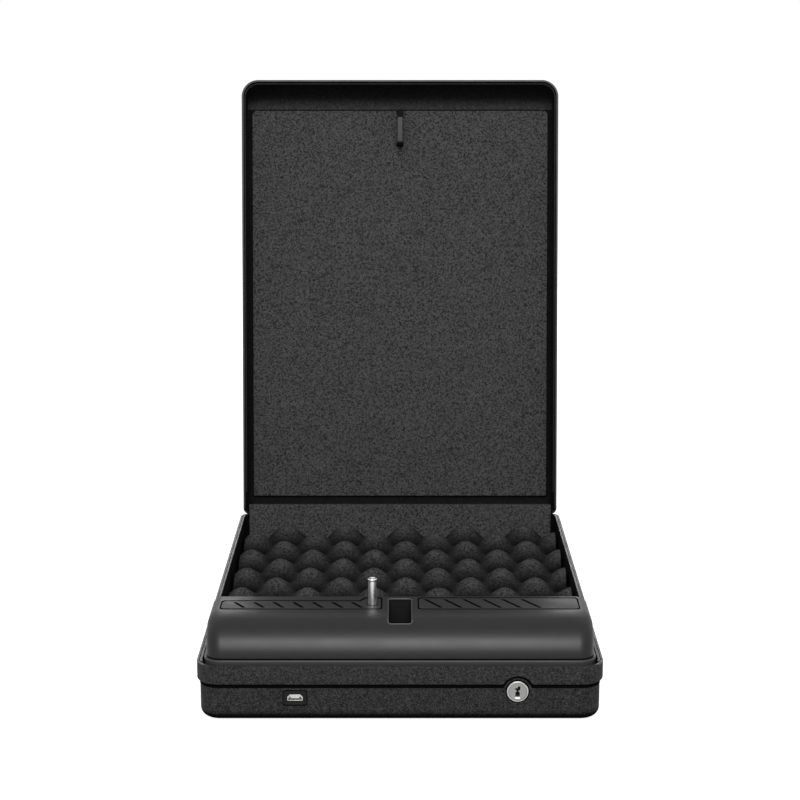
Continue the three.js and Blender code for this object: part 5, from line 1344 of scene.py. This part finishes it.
class SAFE_OT_striker(SafePart, bpy.types.Operator):
    """Flat bar bent to a loop under the lid"""
    bl_idname = "safe.striker"
    bl_label = "Lid striker"

    def make(self, sizes):
        top, low, bar, bend = lid_foam_top, STRIKER_BOTTOM, STRIKER_BAR, STRIKER_BEND
        inner = bend - bar + 0.4
        f, b = striker_front, striker_back
        shaded_end = f + STRIKER_SHADED_END
        loop = rounded([
            (f, top, 0), (f, low, bend), (shaded_end, low, 0), (b, low, bend), (b, top, 0), (b - bar, top, 0),
            (b - bar, low + bar, inner), (f + bar, low + bar, inner), (f + bar, top, 0)], 8)
        striker = new_piece("striker_loop", prism(loop, "x", -STRIKER_WIDTH / 2, STRIKER_WIDTH / 2))
        # Faces other than the flat bottom, and the bottom's first stretch, carry painted shade
        flat = values_of(striker.data.polygons, "normal")[:, 2] <= -0.97
        dark = ~flat | (face_reach(striker).y1 < shaded_end + NEAR)
        wear(striker, "painted_steel_edge", ("inner_coat", dark))
        soften(striker, 0.35, 35, 3)
        open_lid(striker)
        place_piece(striker, "lid", "painted_steel_edge", "lid_striker")


class SAFE_OT_key_lock(SafePart, bpy.types.Operator):
    """Key lock: turned body with its flange, and a core with a keyway"""
    bl_idname = "safe.key_lock"
    bl_label = "Key lock"

    def make(self, sizes):
        nose = front + LOCK_FACE_INSET
        bore = LOCK_CORE_RADIUS + LOCK_CORE_PLAY
        self.body(nose, wall_inside + FIT, bore)
        self.plug(nose + 0.08, bore - 0.03)

    def body(self, nose, shoulder, bore):
        """Turned body: rounded nose, flange behind the pan's wall, and barrel."""
        edge = LOCK_NOSE_RADIUS
        body = new_piece("lock_body", skin(turned([
            (bore, nose + 0.25), (bore + 0.08, nose), (edge - 0.65, nose), (edge - 0.25, nose + 0.05),
            (edge, nose + 0.3), (edge, shoulder), (LOCK_FLANGE_RADIUS, shoulder),
            (LOCK_FLANGE_RADIUS, shoulder + LOCK_FLANGE), (LOCK_BODY_RADIUS, shoulder + LOCK_FLANGE),
            (LOCK_BODY_RADIUS, lock_body_end), (bore, lock_body_end)], "y", lock_at, 96), band=True))
        at = face_reach(body)
        x, _, z = face_centres(body).T
        face = (np.hypot(x - lock_x, z - LOCK_Z) > edge - 0.6) & (at.y1 < nose + 0.35)
        side = (at.y0 > nose + 0.25) & (at.y1 < shoulder + NEAR)
        # The barrel's side in the pan's hole is painted shade, and the nose's rounded rim a brighter metal, a
        # painted highlight
        wear(body, "lock_steel", ("groove", side), ("port_steel", face))
        smooth(body, 30)
        place_piece(body, "base", "lock_steel", "lock_cylinder")

    def plug(self, face, core):
        """Core with its keyway and stub, and the small white tab in the keyway, which is a painted highlight.
        """
        barrel_end = lock_body_end + FIT
        stub_end = barrel_end + LOCK_STUB_LENGTH
        stub = LOCK_STUB_RADIUS
        plug = new_piece("lock_plug", skin(turned([
            (ON_AXIS, face), (core - 0.06, face), (core, face + 0.06), (core, barrel_end), (stub, barrel_end),
            (stub, stub_end), (ON_AXIS, stub_end)], "y", lock_at, 96)))
        cut(plug, prism(np.array(KEYWAY) + [lock_x, LOCK_Z], "y", face - 1, face + KEYWAY_DEPTH))
        at = face_reach(plug)
        inside = ((at.y1 > face + 0.1) & (at.x0 > lock_x - 2) & (at.x1 < lock_x + 2) & (at.z0 > LOCK_Z - 3)
                  & (at.z1 < LOCK_Z + 3.2) & (at.y1 < face + KEYWAY_DEPTH + 0.1))
        # The keyway's inner faces take a dark coat, painted shade
        wear(plug, "lock_steel", ("lip", inside))
        soften(plug, 0.05, 35)
        place_piece(plug, "key_core", "lock_steel", "lock_core")
        # The white tab is a painted highlight
        left, right, low, high = KEYWAY_GLINT
        tab = rounded_box(lock_x + left, lock_x + right, LOCK_Z + low, LOCK_Z + high, 0.2)
        stop = new_piece("key_stop", prism(tab, "y", face - 0.07, face + 0.3))
        wear(stop, "key_stop")
        soften(stop, 0.04, 35)
        place_piece(stop, "key_core", "lock_steel")


class SAFE_OT_pop_up_pin(SafePart, bpy.types.Operator):
    """Bright pin with a flared, dished top, and its spring"""
    bl_idname = "safe.pop_up_pin"
    bl_label = "Pop-up pin"

    def make(self, sizes):
        low = collar_top - PLUNGER_COLLAR
        foot, r, top = low - PLUNGER_SPIGOT, PLUNGER_RADIUS, plunger_top
        pin = new_piece("pin_rod", skin(turned([
            (ON_AXIS, foot), (PLUNGER_SPIGOT_RADIUS - 0.2, foot), (PLUNGER_SPIGOT_RADIUS, foot + 0.2),
            (PLUNGER_SPIGOT_RADIUS, low), (PLUNGER_COLLAR_RADIUS, low), (PLUNGER_COLLAR_RADIUS, collar_top),
            (r - 0.27, collar_top), (r - 0.27, top - 1.6), (r - 0.18, top - 1.1), (r - 0.02, top - 0.7),
            (r, top - 0.35), (r - 0.12, top - 0.08), (r - 0.35, top), (r - 0.7, top - 0.06),
            (r - 1.2, top - 0.35), (ON_AXIS, top - 0.5)], "z", (plunger_x, plunger_y, 0), 72)))
        smooth(pin, 38)
        place_piece(pin, "pop_up_pin", "bright_steel", "plunger_pin")
        start = floor_top + GUIDE_END + FIT
        end = low - FIT
        spring = new_piece("pin_spring", coil(
            "z", PLUNGER_COIL_RADIUS, start, end, PLUNGER_COIL_TURNS, (plunger_x, plunger_y, 0)))
        smooth(spring, 50)
        place_piece(spring, None, "bare_steel", "plunger_spring")
        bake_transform(spring)


class SAFE_OT_latch(SafePart, bpy.types.Operator):
    """Sliding bar, its frame, its spring, the key cam and the release motor"""
    bl_idname = "safe.latch"
    bl_label = "Latch and motor"

    def make(self, sizes):
        dress("bare_steel", "latch_frame", "latch_bar", "gear_motor", "motor_bracket", "motor_shaft",
              "lock_cam", "lock_cam_nut", "lock_bracket", "plunger_guide")
        dress("brass", "motor_cam", "lock_nut")
        dress("bare_steel", *[f"housing_screw_{number}" for number in range(1, 5)], width=0)
        low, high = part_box("latch_spring")
        start, end = low[0] / MM, high[0] / MM
        y, z = latch_y, (LATCH_LOW + LATCH_HIGH) / 2
        spring = new_piece("bar_spring", coil(
            "x", LATCH_COIL_RADIUS, start, end, LATCH_COIL_TURNS, (0, y, z)))
        smooth(spring, 50)
        place_piece(spring, None, "bare_steel", "latch_spring")
        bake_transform(spring)


class SAFE_OT_charging_port(SafePart, bpy.types.Operator):
    """Charging port: bezel, metal mouth and tongue"""
    bl_idname = "safe.charging_port"
    bl_label = "Charging port"

    def outline(self, growth):
        """Outline of the metal mouth, whose upper corners are cut off."""
        w = USB_SHELL_WIDTH / 2 + growth
        h = USB_SHELL_HEIGHT / 2 + growth
        return rounded([(usb_x + x, USB_Z + z, radius) for x, z, radius in (
            (-w, -h, 0.3), (w, -h, 0.3), (w, h - 1.4, 0.4), (w - 1.3, h, 0.4), (1.3 - w, h, 0.4),
            (-w, h - 1.4, 0.4))], 4)

    def make(self, sizes):
        w, h = bezel_half
        bezel = new_piece("port_bezel", prism(
            plate(port_at, bezel_half, 1.2, -BEZEL_GAP), "y", bezel_face, bezel_flange + 0.5))
        join(bezel, prism(plate(port_at, bezel_half, 1.6, 1.4), "y", bezel_flange, bezel_flange + 1.2))
        cut(bezel, prism(self.outline(FIT), "y", bezel_face - 1, bezel_flange + 3),
            prism(rounded_box(usb_x - w + 1, usb_x + w - 1, USB_Z - h + 1.2, USB_Z + h - 1, 0.8), "y",
                  bezel_face - 1, bezel_face + 0.6))
        soften(bezel, 0.12, 35)
        place_piece(bezel, "base", "black_plastic", "usb_bezel")
        mouth = bezel_face + 0.9
        end = mouth + USB_SHELL_DEPTH
        w = USB_SHELL_WIDTH / 2 - USB_SHELL_WALL
        port = new_piece("port_shell", prism(self.outline(0), "y", mouth, end))
        cut(port, prism(self.outline(-USB_SHELL_WALL), "y", mouth - 1, mouth + 0.25),
            block(usb_x - w, usb_x + w, mouth - 1, end - 1, USB_Z - USB_SHELL_HEIGHT / 2 + USB_SHELL_WALL,
                  USB_Z - USB_TONGUE_DROP),
            *[rod("y", USB_DIMPLE_RADIUS, mouth - 1, mouth + 1.5, (usb_x + x, USB_Z - 0.05), 24)
              for x in (-USB_DIMPLE_X, USB_DIMPLE_X)])
        at = face_reach(port)
        # The mouth's inner faces carry painted shade
        wear(port, "port_steel", ("groove", (at.y1 > mouth + 0.5) & (at.y1 < end - 0.5)))
        soften(port, 0.05, 35)
        place_piece(port, "base", "bright_steel", "usb_port")


class SAFE_OT_electronics(SafePart, bpy.types.Operator):
    """Circuit board, its tray and buzzer, and the round cell in its holder"""
    bl_idname = "safe.electronics"
    bl_label = "Electronics"

    def make(self, sizes):
        dress("circuit_board", "control_board")
        dress("black_plastic", "board_tray", "buzzer", "battery_holder")
        dress("cell_sleeve", "battery_cell")


class SAFE_OT_feet(SafePart, bpy.types.Operator):
    """Four thin round rubber feet"""
    bl_idname = "safe.feet"
    bl_label = "Feet"

    def make(self, sizes):
        dress("rubber", "foot_front_left", "foot_front_right", "foot_rear_left", "foot_rear_right", width=0.1)


class SAFE_OT_hinges(SafePart, bpy.types.Operator):
    """Leaves and pins of the two hinges"""
    bl_idname = "safe.hinges"
    bl_label = "Hinges"

    def make(self, sizes):
        for side in ("left", "right"):
            dress("painted_steel_edge", f"hinge_leaf_base_{side}", f"hinge_leaf_lid_{side}")
            dress("bare_steel", f"hinge_pin_{side}")


class SAFE_OT_keypad(SafePart, bpy.types.Operator):
    """Control panel on the lid: plate, finger sensor, board and four dotted keys"""
    bl_idname = "safe.keypad"
    bl_label = "Keypad"

    def make(self, sizes):
        dress("black_plastic", "keypad_bezel", width=0.25)
        dress("circuit_board", "keypad_board")
        dress("dark_glass", "fingerprint_sensor", width=0.1)
        high = plate_high + KEY_PROUD
        half = (KEY_WIDTH / 2, KEY_LENGTH / 2)
        for number, x in enumerate(KEY_X, start=1):
            at = (x, keypad_y)
            head, flange = plate(at, half, KEY_CORNER), plate(at, half, KEY_CORNER, KEY_FLANGE)
            key = new_piece(f"push_key_{number}", prism(head, "z", lid_top - 0.3, high - KEY_DOT_RISE))
            join(key, prism(flange, "z", lid_top - KEY_FLANGE_HEIGHT, lid_top))
            row = (np.arange(number) - (number - 1) / 2) * KEY_DOT_PITCH
            join(key, *[rod("z", KEY_DOT_RADIUS, high - 0.5, high, (x, keypad_y + y), 20) for y in row])
            wear(key, "keys")
            soften(key, 0.1, 35)
            open_lid(key)
            place_piece(key, f"push_key_{number}", "black_plastic", f"key_{number}")


def area_light(name, place, target, width, depth, power):
    """A soft rectangular lamp that faces its target."""
    data = bpy.data.lights.new(name, "AREA")
    data.shape = "RECTANGLE"
    data.size = width
    data.size_y = depth
    data.energy = power
    lamp = bpy.data.objects.new(name, data)
    bpy.context.scene.collection.objects.link(lamp)
    lamp.location = place
    aim = Vector(target) - Vector(place)
    lamp.rotation_euler = aim.to_track_quat("-Z", "Y").to_euler()


class SAFE_OT_stage(SafePart, bpy.types.Operator):
    """Pale floor, soft lamps, white surroundings and the camera"""
    bl_idname = "safe.stage"
    bl_label = "Stage"

    def make(self, sizes):
        scene = bpy.context.scene
        scene.view_settings.view_transform = "Standard"
        reach = FLOOR_REACH
        corners = [(x, y, -FOOT_HEIGHT) for x, y in (
            (-reach, -reach), (reach, -reach), (reach, reach), (-reach, reach))]
        floor = new_piece("floor", (corners, [[0, 1, 2, 3]]))
        floor.data.materials.append(self.floor_material())
        self.surroundings(scene)
        x, y, z = LAMP_TARGET
        for name, degrees, depth, power in FRONT_LAMPS:
            slope = math.radians(degrees)
            place = (x, y - LAMP_AWAY * math.cos(slope), z + LAMP_AWAY * math.sin(slope))
            area_light(name, place, LAMP_TARGET, LAMP_WIDTH, depth, power)
        for lamp in SIDE_LAMPS:
            area_light(*lamp)
        data = bpy.data.cameras.new("camera")
        data.lens = CAMERA_LENS
        data.sensor_width = 36
        camera = bpy.data.objects.new("camera", data)
        scene.collection.objects.link(camera)
        camera.location = CAMERA_PLACE
        camera.rotation_euler = (math.radians(90 - CAMERA_TILT), 0, 0)
        scene.camera = camera

    def floor_material(self):
        """White floor: mostly its own plain white where it is seen, and a share of real light, so that
        the shadow stays."""
        material, tree, shader, coordinates = new_material("floor_white")
        cloud = noise(tree, coordinates, 3.0, 2.0)
        tone = blend_colour(tree, cloud, (0.5, 0.5, 0.5, 1), (0.52, 0.52, 0.52, 1))
        feed(tree, shader, {"Base Color": tone, "Roughness": 0.9, "Specular IOR Level": 0.0})
        path = node(tree, "ShaderNodeLightPath").outputs
        seen = maths(tree, "ADD", path["Is Camera Ray"], path["Is Transmission Ray"], clamp=True)
        mirrored = maths(tree, "MULTIPLY", path["Is Glossy Ray"], FLOOR_MIRRORED)
        strength = maths(tree, "ADD", maths(tree, "MULTIPLY", seen, FLOOR_SEEN), mirrored)
        glow = node(tree, "ShaderNodeEmission", {"Color": (1, 1, 1, 1), "Strength": strength})
        both = node(tree, "ShaderNodeAddShader", {0: shader.outputs[0], 1: glow.outputs[0]})
        output = next(n for n in tree.nodes if n.type == "OUTPUT_MATERIAL")
        feed(tree, output, {"Surface": both.outputs[0]})
        return material

    def surroundings(self, scene):
        """White for what is seen and mirrored, grey as a light."""
        world = bpy.data.worlds.new("studio")
        scene.world = world
        world.use_nodes = True
        tree = world.node_tree
        tree.nodes.clear()
        path = node(tree, "ShaderNodeLightPath").outputs
        seen = maths(tree, "ADD", path["Is Camera Ray"], path["Is Glossy Ray"])
        seen = maths(tree, "ADD", seen, path["Is Transmission Ray"], clamp=True)
        strength = spread(tree, seen, 0, 1, WORLD_LIGHT, 1.0)
        background = node(tree, "ShaderNodeBackground", {"Color": (1, 1, 1, 1), "Strength": strength})
        node(tree, "ShaderNodeOutputWorld", {"Surface": background.outputs[0]})


PARTS = (
    SAFE_OT_stage, SAFE_OT_base_pan, SAFE_OT_base_collar, SAFE_OT_feet, SAFE_OT_floor_foam, SAFE_OT_rear_foam,
    SAFE_OT_lock_housing, SAFE_OT_trim_strips, SAFE_OT_latch, SAFE_OT_key_lock, SAFE_OT_pop_up_pin,
    SAFE_OT_charging_port, SAFE_OT_electronics, SAFE_OT_lid_shell, SAFE_OT_lid_frame, SAFE_OT_lid_foam,
    SAFE_OT_striker, SAFE_OT_hinges, SAFE_OT_keypad,
)


class SAFE_PT_panel(bpy.types.Panel):
    """Lists the safe's pieces, sizes and finishes"""
    bl_idname = "SAFE_PT_panel"
    bl_label = "Portable car safe"
    bl_space_type = "VIEW_3D"
    bl_region_type = "UI"
    bl_category = "Safe"

    def draw(self, context):
        layout = self.layout
        for group in (context.scene.safe_sizes, context.scene.safe_finishes):
            column = layout.column(align=True)
            for key in group.bl_rna.properties.keys():
                if key not in ("rna_type", "name"):
                    column.prop(group, key)
        for part in PARTS:
            layout.operator(part.bl_idname)


CLASSES = (SafeSizes, SafeFinishes, *PARTS, SAFE_PT_panel)


def register():
    for item in CLASSES:
        bpy.utils.register_class(item)
    bpy.types.Scene.safe_sizes = bpy.props.PointerProperty(type=SafeSizes)
    bpy.types.Scene.safe_finishes = bpy.props.PointerProperty(type=SafeFinishes)


def unregister():
    del bpy.types.Scene.safe_finishes
    del bpy.types.Scene.safe_sizes
    for item in reversed(CLASSES):
        bpy.utils.unregister_class(item)


def main():
    register()
    for part in PARTS:
        family, _, name = part.bl_idname.partition(".")
        getattr(getattr(bpy.ops, family), name)()


if __name__ == "__main__":
    main()
